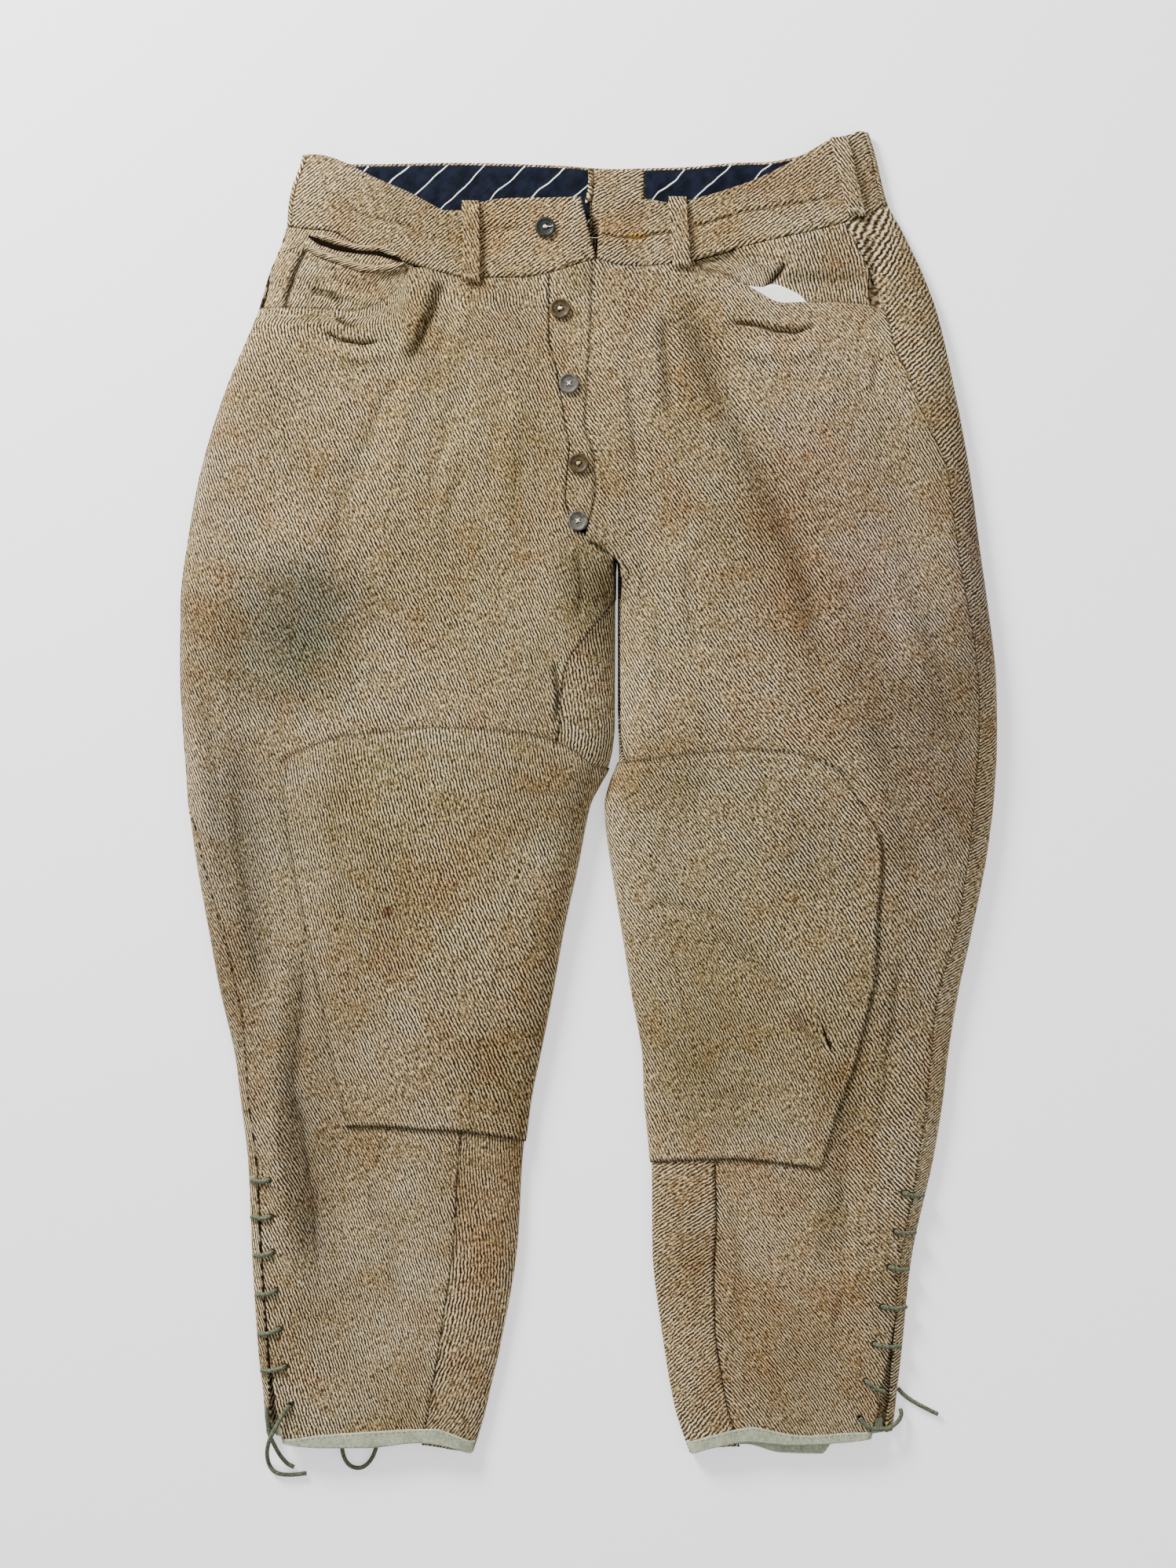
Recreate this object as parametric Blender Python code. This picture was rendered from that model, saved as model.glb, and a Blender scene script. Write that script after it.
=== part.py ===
"""A pair of lace-up, button-fly breeches in heavy marled twill, laid flat on its back.

Lengths inside the functions are millimetres and become metres when a mesh is made. A place on the
garment is (x, down): x runs to the right as it is seen from above, and down runs from the top of
the waist to the hem. The wearer's right leg lies on the -x side. The garment rests on z = 0.
"""
import functools
import math

import bmesh
import bpy
from mathutils import Matrix, Vector

MM = 0.001
TOP_Y = 488.53  # world y of down = 0, which puts the middle of the garment's box on the origin

# Thicknesses of the cloths, and the clearances between the pieces
TWILL = 1.8
WAISTBAND = 2.4
SINGLE = 1.4
COTTON = 1.0
SEAM_GAP = 0.5
LAY_GAP = 0.5

# The section of a leg: a tight corner on the floor, then an elliptical side up to the crown
CORNER = 3.0
FLOOR_RUN = 10.0  # along the floor for each turn past the corner
SIDE_RUN = {"outer": 42.0, "inner": 30.0}
CROTCH_START = 312.0
CROTCH = 345.0
CENTRE_BACK = 21.0
ROWS = (160, 195, 235, 275, 296, 305, 315, 326, 345, 375, 405, 436, 466, 480, 495, 520,
        555, 595, 640, 685, 722, 752, 790, 835, 880, 915, 945)
UPPER_ROWS = 3
FRONT_COLUMNS = 17
# A front's columns are closer within these reaches of its two edges, at these shares across
OUTER_REACH = 46.0
INNER_REACH = 34.0
OUTER_SHARE = 0.25
INNER_SHARE = 0.8

# down, then the outline's x at: right leg outer, right leg inner, left leg inner, left leg outer
OUTLINE = (
    (0, -210, 20, 22, 206.5),
    (20, -212, 20, 22, 212.5),
    (40, -219, 20, 22, 217),
    (55, -222, 20, 22, 221.5),
    (70, -223, 20, 22, 230),
    (88, -229, 20, 22, 239),
    (105, -236, 20, 22, 247),
    (135, -245, 20, 22, 258),
    (190, -268, 20, 22, 270.5),
    (250, -286.5, 20, 22, 281.5),
    (310, -297.5, 20, 22, 289.5),
    (345, -301.5, 19.7, 22, 294.5),
    (400, -302, 19.5, 22, 301),
    (440, -300, 19.3, 22, 302),
    (466, -298, 15.5, 22.5, 301.5),
    (480, -297, 8, 17.5, 300.5),
    (495, -296, 0.5, 13.5, 299.5),
    (512, -294, -3.7, 14, 297.5),
    (540, -290, -9, 17.7, 293.5),
    (590, -281, -20, 26, 283.5),
    (635, -272.5, -28, 33, 273.5),
    (680, -262, -37, 41, 266),
    (715, -257.5, -44, 42.5, 262),
    (760, -252, -49, 46.5, 254.5),
    (830, -249, -53.5, 47, 239),
    (900, -244.5, -66, 56, 231.5),
    (930, -241, -73, 61, 228),
    (948, -239.5, -77, 65, 226),
    (980, -237, -87, 76, 222),
)
# down, height of the crown's middle surface
CROWN = ((0, 12.5), (50, 13), (110, 15.5), (200, 19.5), (330, 23), (440, 22), (560, 19),
         (700, 15.5), (850, 12.5), (940, 11.5), (980, 11))
# down, how far the inseam lies in from the inner fold
INSEAM = {
    "right": ((345, 0), (362, 12), (378, 24), (390, 33), (410, 38), (450, 41), (470, 45),
              (527, 43), (590, 43), (635, 45), (690, 47), (740, 46), (850, 46), (930, 42),
              (980, 38)),
    "left": ((345, 0), (440, 0.6), (466, 4), (480, 14), (500, 23), (530, 29), (569, 32),
             (602, 35), (650, 38), (682, 39), (742, 44), (806, 46), (862, 41), (890, 38),
             (980, 38)),
}
# down, how far the front's edge and the back's edge lie in from the outer fold: below 752 the two
# part and make the laced opening
OUTSEAM = {
    "right": ((70, 0, 0), (500, 0, 0), (513, 3.5, 3.5), (540, 5.8, 5.8), (575, 9.3, 9.3),
              (613, 13, 13), (650, 13, 13), (680, 8.5, 8.5), (720, 6.2, 6.2), (752, 6.5, 6.5),
              (765, 7, 6.2), (890, 8, 6.8), (925, 8, 5), (942, 8.6, 4.2), (960, 10.5, 5),
              (980, 13, 6.5)),
    "left": ((54, 40, 40), (134, 39, 39), (162, 38.5, 38.5), (181, 33.5, 33.5),
             (213, 27, 27), (252, 17, 17), (316, 17, 17), (380, 14.5, 14.5), (425, 14, 14),
             (491, 15, 15), (535, 14, 14), (590, 12, 12), (636, 15, 15), (680, 13, 13),
             (752, 11, 11), (765, 10.6, 9.6), (830, 8, 7), (870, 7.4, 6.2), (900, 9.5, 6),
             (930, 12, 4.7), (948, 13, 5.2), (965, 15, 4.5), (980, 16.5, 4)),
}
# x, down along the seam under each front waistband, and along its free top edge
WAIST_SEAM = {
    "right": ((-223, 70), (-207, 73), (-188, 75.5), (-165, 88.5), (-140, 96), (-121, 102),
              (-111, 105), (-93, 109), (-64, 109.6), (-45, 109), (-25.5, 105), (-6.5, 98.6),
              (5.2, 95.7)),
    "left": ((3, 95.7), (6.5, 96.3), (22.5, 100.3), (41, 101), (62, 98.6), (77, 96.3),
             (124, 84), (190, 68), (221, 54.5)),
}
WAIST_TOP = {
    "right": ((-211, 17), (-195, 19), (-180, 24.5), (-157, 36), (-133, 46.5), (-118, 54.5),
              (-107, 60), (-94, 60), (-88, 56.3), (-63, 51), (-35, 50.5), (-6, 50)),
    "left": ((8, 55), (43, 51.6), (57.5, 54), (72.5, 52.8), (124, 36.5), (166.5, 14),
             (178, 7.5), (192, 3.5), (201, 0.2), (207, 1)),
}
WAIST_BACK_SEAM = ((-223, 70), (-120, 76), (21, 77), (130, 70), (221, 54.5))
WAIST_BACK_TOP = ((-211, 17), (-173, 23), (-93, 22), (-24, 24), (17, 26.7), (43, 26), (75, 25),
                  (108, 22), (132, 21.5), (166, 14), (201, 0.2), (207, 1))
# x, down along each front's upper edge: the pocket's mouth, then the waistband's seam
FRONT_TOP = {
    "right": ((-246, 130.5), (-188, 133), (-176, 134), (-163, 132), (-147.5, 124.5),
              (-137, 113), (-133, 101.8), (-121, 102), (-111, 105), (-93, 109), (-64, 109.6),
              (-45, 109), (-25.5, 105)),
    "left": ((3, 95.7), (6.5, 96.3), (22.5, 100.3), (41, 101), (62, 98.6), (77, 96.3),
             (82, 103), (103, 108), (113, 113.5), (126.5, 121), (134.5, 126), (143, 128),
             (158, 127.6), (182, 127.6), (203.5, 129.3), (219, 134)),
}
# x, down along the front hem and the back hem
HEM = {
    "right": ((-230, 964), (-224.5, 968), (-198, 970.5), (-162, 970.5), (-125, 967),
              (-106, 969.5), (-89, 975), (-84, 976)),
    "left": ((70, 978), (76, 976), (90, 971), (118, 966), (147, 968.5), (177, 967.5),
             (206, 964.5), (222, 960)),
}
BACK_HEM = {
    "right": ((-238, 962), (-198, 969), (-125, 969), (-89, 975), (-84, 976)),
    "left": ((70, 978), (90, 971), (118, 970), (140, 976), (173, 977), (180, 969), (222, 960)),
}
# down, x of the stand's seam on the right front, and x of the left front's free fly edge
STAND_SEAM = ((100, -29.6), (156, -29.6), (173, -25), (195, -21), (219, -17.5), (233, -14.5),
              (254, -16.2), (275, -17.4), (286, -13.8), (296, -10.4), (305, 16.5),
              (320, 18), (345, 18.8))
FLY_EDGE = ((96, 3.5), (120, 3), (156, 1.8), (190, -0.6), (219, -1.7), (240, 4.6),
            (268, 5.8), (282, 3), (296, -1.2), (302, -1.7), (304, 2), (311, 12.8),
            (321, 23.2), (333, 23.8), (345, 22.9))
STAND_END = 14.0
STAND_FOOT = 292.0
FLY_LIFT = 2.4
FLY_LIFT_RUN = (18.0, 42.0)
# name: half width, depth, then the line that the fold follows as (x, down)
FOLDS = {
    "left_long": (17, -3.6, ((75, 112), (77, 146), (88, 167), (101, 205), (123, 245),
                             (149, 299), (162, 338), (172, 391), (178, 425))),
    "left_outer": (20, -3.0, ((203, 425), (227, 480), (236, 524), (241, 569))),
    "left_fly": (11, -1.6, ((56, 134), (58, 187), (61, 220))),
    "left_knee": (18, -1.0, ((105, 589), (149, 646), (176, 684))),
    "right_tuck": (11, -4.0, ((-111, 112), (-110, 119), (-115, 136), (-125, 160), (-136, 180))),
    "right_thigh": (22, -3.0, ((-262, 440), (-252, 520), (-243, 600), (-236, 650))),
    "right_calf": (18, -2.4, ((-222, 700), (-214, 780), (-204, 850))),
    "left_calf": (18, -1.8, ((196, 700), (186, 790), (176, 860))),
}
# x, down along each knee patch's upper and lower edges, and down, x along its outer edge
PATCH_TOP = {
    "right": ((-222, 462), (-190, 449), (-152, 443.5), (-108, 440), (-63, 442.5),
              (-30, 448), (-12, 456), (3.5, 469)),
    "left": ((14, 467.5), (61, 461), (110, 456.5), (145, 457.5), (170, 464.5), (184, 472)),
}
PATCH_FOOT = {
    "right": ((-178, 734), (-152, 734), (-119, 736.5), (-96, 737.5), (-63, 742), (-46, 746)),
    "left": ((46, 761), (70, 759), (103, 758), (131, 760), (155, 763), (172, 765.5)),
}
PATCH_SIDE = {
    "right": ((462, -222), (491, -224.5), (524, -221), (569, -212), (613, -203), (657, -194),
              (682, -190), (734, -177)),
    "left": ((470, 183), (518, 213), (540, 216), (580, 213), (620, 211.5), (651, 205),
             (688, 196), (724, 183), (765, 171)),
}
TAPE_TOP = {
    "right": ((-230, 961), (-224.5, 964.5), (-198, 961), (-162, 958.5), (-134, 957),
              (-112, 956.5), (-97, 962), (-88, 966)),
    "left": ((73, 967), (90, 961.5), (121, 955), (140, 959), (158, 961.5), (190, 959.5),
             (208, 959), (222, 954)),
}
BACK_TAPE_DEPTH = 11.0

# The waistband's ends at the fly, top and foot, and its joins just inside the side folds
WAIST_ENDS = {"right": (-6.0, 5.2), "left": (8.1, 6.6)}
WAIST_JOIN = 3.2
WAIST_BACK_COLUMNS = 22
LINING_DROP = 2.0
LINING_ENDS = {"right": (-186.0, 0.6), "left": (41.8, 168.0)}
CENTRE_FACING = (2.8, 40.6)
FACING_END = {"right": -129.0, "left": 74.0}
FACING_LAP = 12.0
# x, down along the free edge of the white bag that shows in the left pocket's mouth
BAG_EDGE = ((110, 113.5), (119, 115.5), (128, 116.3), (135, 114), (147, 117.7), (156, 122.8),
            (160, 127), (165, 131))
BAG_LAP = 10.0
PATCH_TURN = -0.42
PATCH_COLUMNS = 15
PATCH_SPLIT = 0.4
PATCH_GAP = 0.8

# name: centre x, down, of each button, and the level of cloth that it lies on
BUTTON_RADIUS = 7.5
BUTTON_THICK = 2.6
BUTTON_STEPS = 14
BUTTONS = (
    ("button_waist", -32, 72.5, WAISTBAND, "#4A4B43"),
    ("button_fly_1", -21, 132.8, SINGLE, "#5E523B"),
    ("button_fly_2", -14.5, 188, SINGLE, "#6B6864"),
    ("button_fly_3", -7.5, 247, SINGLE, "#5A4F35"),
    ("button_fly_4", -8, 289, SINGLE, "#65625C"),
)
# name: side, width, then x and down of its upper and lower end
LOOP_THICK = 1.5
LOOPS = (
    ("belt_loop_right", "right", 12.5, (-87, 53), (-86, 113)),
    ("belt_loop_left", "left", 13.0, (65, 50), (68.5, 102)),
    ("belt_loop_side", "left", 13.0, (184, 6), (197, 64)),
)
LOOP_CLEAR = 3.2

LACE = 3.2
LACE_HUMP = 0.3
# x and down of the eyelet in the front, and of the lace's far end at the outer fold
RUNGS = {
    "right": ((-235, 773, -248, 773), (-234.3, 800, -247.8, 800.4), (-232.6, 826, -246, 829),
              (-230.3, 854.5, -244.8, 858), (-227.7, 883, -243, 887), (-223.5, 910.5, -241, 914)),
    "left": ((231.4, 782.5, 246, 784.5), (225.6, 811, 240, 811.5), (221, 837, 235, 839),
             (215.8, 866.5, 233.5, 867), (210, 894, 229.8, 896), (204, 921, 217.5, 929.5)),
}
RUNG_POINTS = 5
# x, down and height of each free or looped run of lace: None lies on the cloth
LACE_RUNS = {
    "lace_end_right_upper": ((-219.8, 939, None), (-224, 944.5, None), (-227.6, 950, 15),
                             (-231.2, 956.5, 15.4), (-234.4, 963, 14.6), (-236.6, 970, 11.4),
                             (-237.6, 977, 6.4), (-237, 984, 2.4), (-234, 989.5, 1.7),
                             (-229, 992.3, 1.7), (-222, 993, 1.7), (-215, 992.6, 1.7),
                             (-209, 991.8, 1.7)),
    "lace_end_right_lower": ((-236.2, 941, None), (-236, 948, None), (-235.2, 955, None),
                             (-234, 962, None), (-232.2, 969, 8.4), (-229.6, 975.5, 5.0),
                             (-226.4, 981, 2.4), (-222.6, 985, 1.7), (-218, 987.4, 1.7)),
    "lace_bow_right": ((-182.5, 958, 5.9), (-182.5, 965, 5.9), (-182.3, 972, 5.4),
                       (-181.3, 978.5, 3.4), (-178.8, 984, 1.9), (-174.5, 987.3, 1.7),
                       (-169, 987.8, 1.7), (-164, 985, 1.9), (-160, 979.5, 3.2),
                       (-157.5, 973, 5.3), (-156, 966, 5.9), (-155, 959, 5.9)),
    "lace_end_left": ((228.9, 929, 1.7), (233, 933.5, 1.7), (237.5, 937, 1.7), (242.5, 940, 1.7),
                      (248, 943, 1.7), (253.5, 945.8, 1.7), (258.5, 948.2, 1.7)),
    "lace_loop_left": ((199.5, 948.3, None), (203, 953, None), (208, 956, None),
                       (214, 957, None), (219.5, 956.6, None), (224.5, 955, 8.8),
                       (229, 951.6, 6.4), (231, 947.5, 5.0), (230.4, 943.5, 4.4)),
}


def curve_value(table, at, column=1):
    """The value in a column of a table at a place in its first column, by smooth monotone steps."""
    if at <= table[0][0]:
        return table[0][column]
    if at >= table[-1][0]:
        return table[-1][column]
    i = next(k for k in range(len(table) - 1) if at <= table[k + 1][0])

    def slope(k):
        low, high = max(k - 1, 0), min(k + 1, len(table) - 1)
        return (table[high][column] - table[low][column]) / (table[high][0] - table[low][0])

    span = table[i + 1][0] - table[i][0]
    start, end = table[i][column], table[i + 1][column]
    t = (at - table[i][0]) / span
    chord = (end - start) / span
    limit = 2.0 * abs(chord)
    rise = [max(-limit, min(limit, slope(k))) if slope(k) * chord > 0 else 0.0 for k in (i, i + 1)]
    h = t * t * (3 - 2 * t)
    return (start + (end - start) * h + rise[0] * span * t * (1 - t) ** 2
            - rise[1] * span * t * t * (1 - t))


def smooth(t):
    t = max(0.0, min(1.0, t))
    return t * t * (3 - 2 * t)


def lerp(a, b, t):
    return a + (b - a) * t


def fold_x(side, edge, down):
    """x of the middle surface at a leg's outer or inner fold."""
    column = {("right", "outer"): 1, ("right", "inner"): 2,
              ("left", "inner"): 3, ("left", "outer"): 4}[side, edge]
    outline = curve_value(OUTLINE, down, column)
    return outline + inward(side, edge) * TWILL / 2


def inward(side, edge):
    """+1 where the cloth runs to +x from this fold."""
    return 1 if (side == "right") == (edge == "outer") else -1


def side_rise(run, inset):
    return math.sqrt(max(0.0, 1 - (1 - max(0.0, min(1.0, inset / run))) ** 2))


def crotch_share(down):
    """0 above the crotch, where the fronts are one surface, and 1 where the legs have parted."""
    return smooth((down - CROTCH_START) / (CROTCH + 8 - CROTCH_START))


def line_distance(line, x, down):
    """Distance from a line of points, and how far along it the nearest place is, 0 to 1."""
    best, along = 1e9, 0.0
    for k in range(len(line) - 1):
        (ax, ad), (bx, bd) = line[k], line[k + 1]
        length = (bx - ax) ** 2 + (bd - ad) ** 2
        t = max(0.0, min(1.0, ((x - ax) * (bx - ax) + (down - ad) * (bd - ad)) / length))
        gap = math.hypot(x - lerp(ax, bx, t), down - lerp(ad, bd, t))
        if gap < best:
            best, along = gap, (k + t) / (len(line) - 1)
    return best, along


def folds_height(side, x, down):
    """Soft troughs along the main folds, fading out at both ends."""
    total = 0.0
    for name, (half, depth, line) in FOLDS.items():
        if not name.startswith(side):
            continue
        gap, along = line_distance(line, x, down)
        if gap < half:
            fade = smooth(along / 0.2) * smooth((1 - along) / 0.25)
            total += depth * fade * 0.5 * (1 + math.cos(math.pi * gap / half))
    return total


def top_height(side, x, down):
    """Height of the middle surface of the upper layer."""
    base = TWILL / 2 + CORNER
    outer = side_rise(SIDE_RUN["outer"], (x - fold_x(side, "outer", down)) * inward(side, "outer"))
    inner = side_rise(SIDE_RUN["inner"], (x - fold_x(side, "inner", down)) * inward(side, "inner"))
    share = crotch_share(down)
    crown = curve_value(CROWN, down)
    rise = outer * (1 - share * (1 - inner))
    return base + (crown - base + folds_height(side, x, down)) * rise


def fly_lift(x, down):
    """How far the left front lies above the right one, over the stand."""
    start, end = FLY_LIFT_RUN
    return FLY_LIFT * (1 - smooth((x - start) / (end - start))) * (1 - smooth((down - 320) / 25))


def top_point(side, x, down):
    lift = fly_lift(x, down) if side == "left" else 0.0
    return Vector((x, TOP_Y - down, top_height(side, x, down) + lift))


def section_point(side, edge, turn, down, thick=TWILL):
    """A point round one fold: turn -1 to 0 is the corner on the floor, 0 to 1 the side, and
    beyond them it runs on along the floor or along the crown."""
    x = fold_x(side, edge, down)
    way = inward(side, edge)
    if turn > 0:
        run = SIDE_RUN[edge]
        inset = run * (1 - math.cos(min(turn, 1) * math.pi / 2)) + max(turn - 1, 0) * run
        return top_point(side, x + way * inset, down)
    angle = min(-turn, 1) * math.pi / 2
    flat = max(-turn - 1, 0) * FLOOR_RUN
    drop = CORNER + (TWILL - thick) / 2
    return Vector((x + way * (CORNER * (1 - math.cos(angle)) + flat), TOP_Y - down,
                   thick / 2 + drop * (1 - math.sin(angle))))


def turn_at(edge, inset):
    """The turn of a place that lies this far in from the fold, on the upper side."""
    run = SIDE_RUN[edge]
    if inset < run:
        return math.acos(1 - inset / run) / (math.pi / 2)
    return 1 + (inset - run) / run


def row_down(top, foot, share, rows):
    """The down of a row: rows near the top follow the top edge, then the rows of ROWS, then the
    hem."""
    at = share * rows
    levels = [lerp(top, ROWS[0], k / UPPER_ROWS) for k in range(UPPER_ROWS)]
    levels += list(ROWS) + [foot]
    low = min(int(at), len(levels) - 2)
    return lerp(levels[low], levels[low + 1], at - low)


PANEL_ROWS = UPPER_ROWS + len(ROWS)


def front_x(side, share, down):
    """x across a front, from its outer seam to its fly edge or inseam, closer near each fold."""
    inset = curve_value(OUTSEAM[side], down, 1)
    start = fold_x(side, "outer", down) + inward(side, "outer") * (inset + SEAM_GAP / 2)
    if down < CROTCH:
        end = curve_value(STAND_SEAM if side == "right" else FLY_EDGE, down)
        end += inward(side, "inner") * (TWILL / 2 if side == "left" and down > 330 else 0)
        inset_end = SIDE_RUN["inner"]
    else:
        inset_end = curve_value(INSEAM[side], down)
        end = fold_x(side, "inner", down) + inward(side, "inner") * (inset_end + SEAM_GAP / 2)
    way = inward(side, "outer")
    first = start + way * OUTER_REACH
    last = end - way * INNER_REACH
    if share < OUTER_SHARE:
        power = 2 - min(1, inset / SIDE_RUN["outer"])
        return lerp(start, first, (share / OUTER_SHARE) ** power)
    if share > INNER_SHARE:
        power = 2 - min(1, inset_end / SIDE_RUN["inner"])
        return lerp(end, last, ((1 - share) / (1 - INNER_SHARE)) ** power)
    return lerp(first, last, (share - OUTER_SHARE) / (INNER_SHARE - OUTER_SHARE))


def front_point(side):
    def point(across, along):
        down = ROWS[0]
        for _ in range(4):
            x = front_x(side, across, down)
            top = curve_value(FRONT_TOP[side], x) + SEAM_GAP / 2
            foot = curve_value(HEM[side], x) - SEAM_GAP
            down = row_down(top, foot, along, PANEL_ROWS)
        return top_point(side, front_x(side, across, down), down)
    return point


# Columns round a back: down the outer side, its corner, along the floor, and round the inner fold
BACK_COLUMNS = {"outer": 3, "corner": 2, "floor": 4}
INNER_TURNS = (-1.5, -1.0, -0.5, -0.05, 0.3, 0.62, 0.9)
BACK_COLUMN_COUNT = sum(BACK_COLUMNS.values()) + len(INNER_TURNS)
FLOOR_MARGIN = 5.0


def inner_turn(at, end):
    """The turn at a column round the inner fold, with the columns evened out where the cloth
    ends before the fold does."""
    even = lerp(INNER_TURNS[0], end, at / len(INNER_TURNS))
    turns = INNER_TURNS + (end,)
    low = min(int(at), len(turns) - 2)
    return lerp(even, lerp(turns[low], turns[low + 1], at - low), smooth((end - 0.9) / 0.4))


def back_point(side):
    """A back: from its outer seam on top, round the outer fold, along the floor, then to the
    centre back or round the inner fold to the inseam."""
    way = inward(side, "outer")
    corner_at = BACK_COLUMNS["outer"]
    floor_at = corner_at + BACK_COLUMNS["corner"]
    inner_at = floor_at + BACK_COLUMNS["floor"]

    def place(at, down):
        inset = curve_value(OUTSEAM[side], down, 2)
        start = turn_at("outer", inset - SEAM_GAP / 2) if inset > 0.5 else -0.006
        if at <= corner_at:
            return section_point(side, "outer", lerp(start, -0.04, at / corner_at), down)
        if at <= floor_at:
            turn = lerp(-0.04, -1, (at - corner_at) / BACK_COLUMNS["corner"])
            return section_point(side, "outer", turn, down)
        flat_start = fold_x(side, "outer", down) + way * CORNER
        across = (at - floor_at) / BACK_COLUMNS["floor"]
        around = (at - inner_at) / len(INNER_TURNS)
        if down < CROTCH:
            centre = CENTRE_BACK - way * SEAM_GAP / 2
            inner = fold_x(side, "inner", CROTCH) - way * CORNER
            share = smooth((down - CROTCH_START) / (CROTCH - CROTCH_START))
            flat_end = lerp(centre, inner, share) - way * FLOOR_MARGIN
            if at <= inner_at:
                return Vector((lerp(flat_start, flat_end, across), TOP_Y - down, TWILL / 2))
            level = Vector((lerp(flat_end, centre, around), TOP_Y - down, TWILL / 2))
            curled = section_point(side, "inner", lerp(-1.5, -0.06, around), CROTCH)
            curled.y = TOP_Y - down
            return level.lerp(curled, share)
        flat_end = fold_x(side, "inner", down) - way * (CORNER + FLOOR_MARGIN)
        if at <= inner_at:
            return Vector((lerp(flat_start, flat_end, across), TOP_Y - down, TWILL / 2))
        inset = curve_value(INSEAM[side], down)
        end = turn_at("inner", inset - SEAM_GAP / 2) if inset > 0.5 else -0.06
        return section_point(side, "inner", inner_turn(at - inner_at, end), down)

    def point(across, along):
        at = across * BACK_COLUMN_COUNT
        down = ROWS[0]
        for _ in range(4):
            spot = place(at, down)
            seam = WAIST_SEAM[side] if at < corner_at else WAIST_BACK_SEAM
            foot = curve_value(BACK_HEM[side], spot.x) - SEAM_GAP
            down = row_down(curve_value(seam, spot.x) + SEAM_GAP, foot, along, PANEL_ROWS)
        return place(at, down)
    return point


def normal_of(point, across, along):
    """The way out of a surface at a place, from its slopes."""
    step = 1e-3
    side_step = (point(min(across + step, 1), along) - point(max(across - step, 0), along))
    down_step = (point(across, min(along + step, 1)) - point(across, max(along - step, 0)))
    return down_step.cross(side_step).normalized()


def material_of(name, hex_colour, roughness):
    material = bpy.data.materials.new(name)
    material.use_nodes = True
    channels = [int(hex_colour[k:k + 2], 16) / 255 for k in (1, 3, 5)]
    linear = [c / 12.92 if c <= 0.04045 else ((c + 0.055) / 1.055) ** 2.4 for c in channels]
    shader = material.node_tree.nodes["Principled BSDF"]
    shader.inputs["Base Color"].default_value = (*linear, 1)
    shader.inputs["Roughness"].default_value = roughness
    shader.inputs["Metallic"].default_value = 0.0
    return material


def add_object(name, mesh, colour, roughness=0.9):
    thing = bpy.data.objects.new(name, mesh)
    thing.data.materials.append(material_of(name, colour, roughness))
    bpy.context.scene.collection.objects.link(thing)
    return thing


TWEED = "#A08A66"
NAVY = "#1C2333"
SAGE = "#9DA28C"
CORD_GREEN = "#6F7560"
WHITE = "#ECEBE6"


def add_wall(name, point, columns, rows, thick, colour=TWEED, lift=0.0, flip=False):
    """A closed wall of even thickness about a surface given as point(across, along)."""
    work = bmesh.new()
    bmesh.ops.create_grid(work, x_segments=columns, y_segments=rows, size=0.5)
    face_side = bmesh.ops.extrude_face_region(work, geom=work.faces[:])["geom"]
    inner = {v for v in face_side if isinstance(v, bmesh.types.BMVert)}
    for vertex in work.verts:
        across, along = vertex.co.x + 0.5, 0.5 - vertex.co.y
        out = normal_of(point, across, along) * (-1 if flip else 1)
        shift = lift + (-thick / 2 if vertex in inner else thick / 2)
        vertex.co = (point(across, along) + out * shift) * MM
    bmesh.ops.recalc_face_normals(work, faces=work.faces[:])
    mesh = bpy.data.meshes.new(name)
    work.to_mesh(mesh)
    work.free()
    return add_object(name, mesh, colour)


def add_panels():
    add_wall("front_right", front_point("right"), FRONT_COLUMNS, PANEL_ROWS, TWILL)
    add_wall("front_left", front_point("left"), FRONT_COLUMNS, PANEL_ROWS, TWILL, flip=True)
    add_wall("back_right", back_point("right"), BACK_COLUMN_COUNT, PANEL_ROWS, TWILL)
    add_wall("back_left", back_point("left"), BACK_COLUMN_COUNT, PANEL_ROWS, TWILL, flip=True)


def add_waistbands():
    def front(side, across, along):
        down = 60.0
        for _ in range(4):
            outer = fold_x(side, "outer", down) + inward(side, "outer") * WAIST_JOIN
            inner = lerp(*WAIST_ENDS[side], along)
            x = lerp(inner, outer, 1 - (1 - across) ** 1.6)
            down = lerp(curve_value(WAIST_TOP[side], x),
                        curve_value(WAIST_SEAM[side], x) - SEAM_GAP / 2, along)
        return top_point(side, x, down)

    def back(across, along):
        at = across * WAIST_BACK_COLUMNS
        down = 40.0
        for _ in range(4):
            if at < 4:
                turn = lerp(turn_at("outer", WAIST_JOIN - SEAM_GAP), -1, at / 4)
                spot = section_point("right", "outer", turn, down, WAISTBAND)
            elif at > WAIST_BACK_COLUMNS - 4:
                turn = lerp(turn_at("outer", WAIST_JOIN - SEAM_GAP), -1,
                            (WAIST_BACK_COLUMNS - at) / 4)
                spot = section_point("left", "outer", turn, down, WAISTBAND)
            else:
                x = lerp(fold_x("right", "outer", down) + CORNER,
                         fold_x("left", "outer", down) - CORNER,
                         (at - 4) / (WAIST_BACK_COLUMNS - 8))
                spot = Vector((x, 0, WAISTBAND / 2))
            down = lerp(curve_value(WAIST_BACK_TOP, spot.x),
                        curve_value(WAIST_BACK_SEAM, spot.x) - SEAM_GAP / 2, along)
            spot.y = TOP_Y - down
        return spot

    for side in ("right", "left"):
        add_wall("waistband_" + side, functools.partial(front, side), 18, 3, WAISTBAND,
                 flip=side == "right")
    add_wall("waistband_back", back, WAIST_BACK_COLUMNS, 3, WAISTBAND)


def floor_sheet(ends, top, foot, height):
    """A flat piece that lies on the inner face of the back, between two lines across it."""
    def point(across, along):
        x = lerp(*ends, across)
        down = lerp(top(x), foot(x), along)
        return Vector((x, TOP_Y - down, height))
    return point


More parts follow.
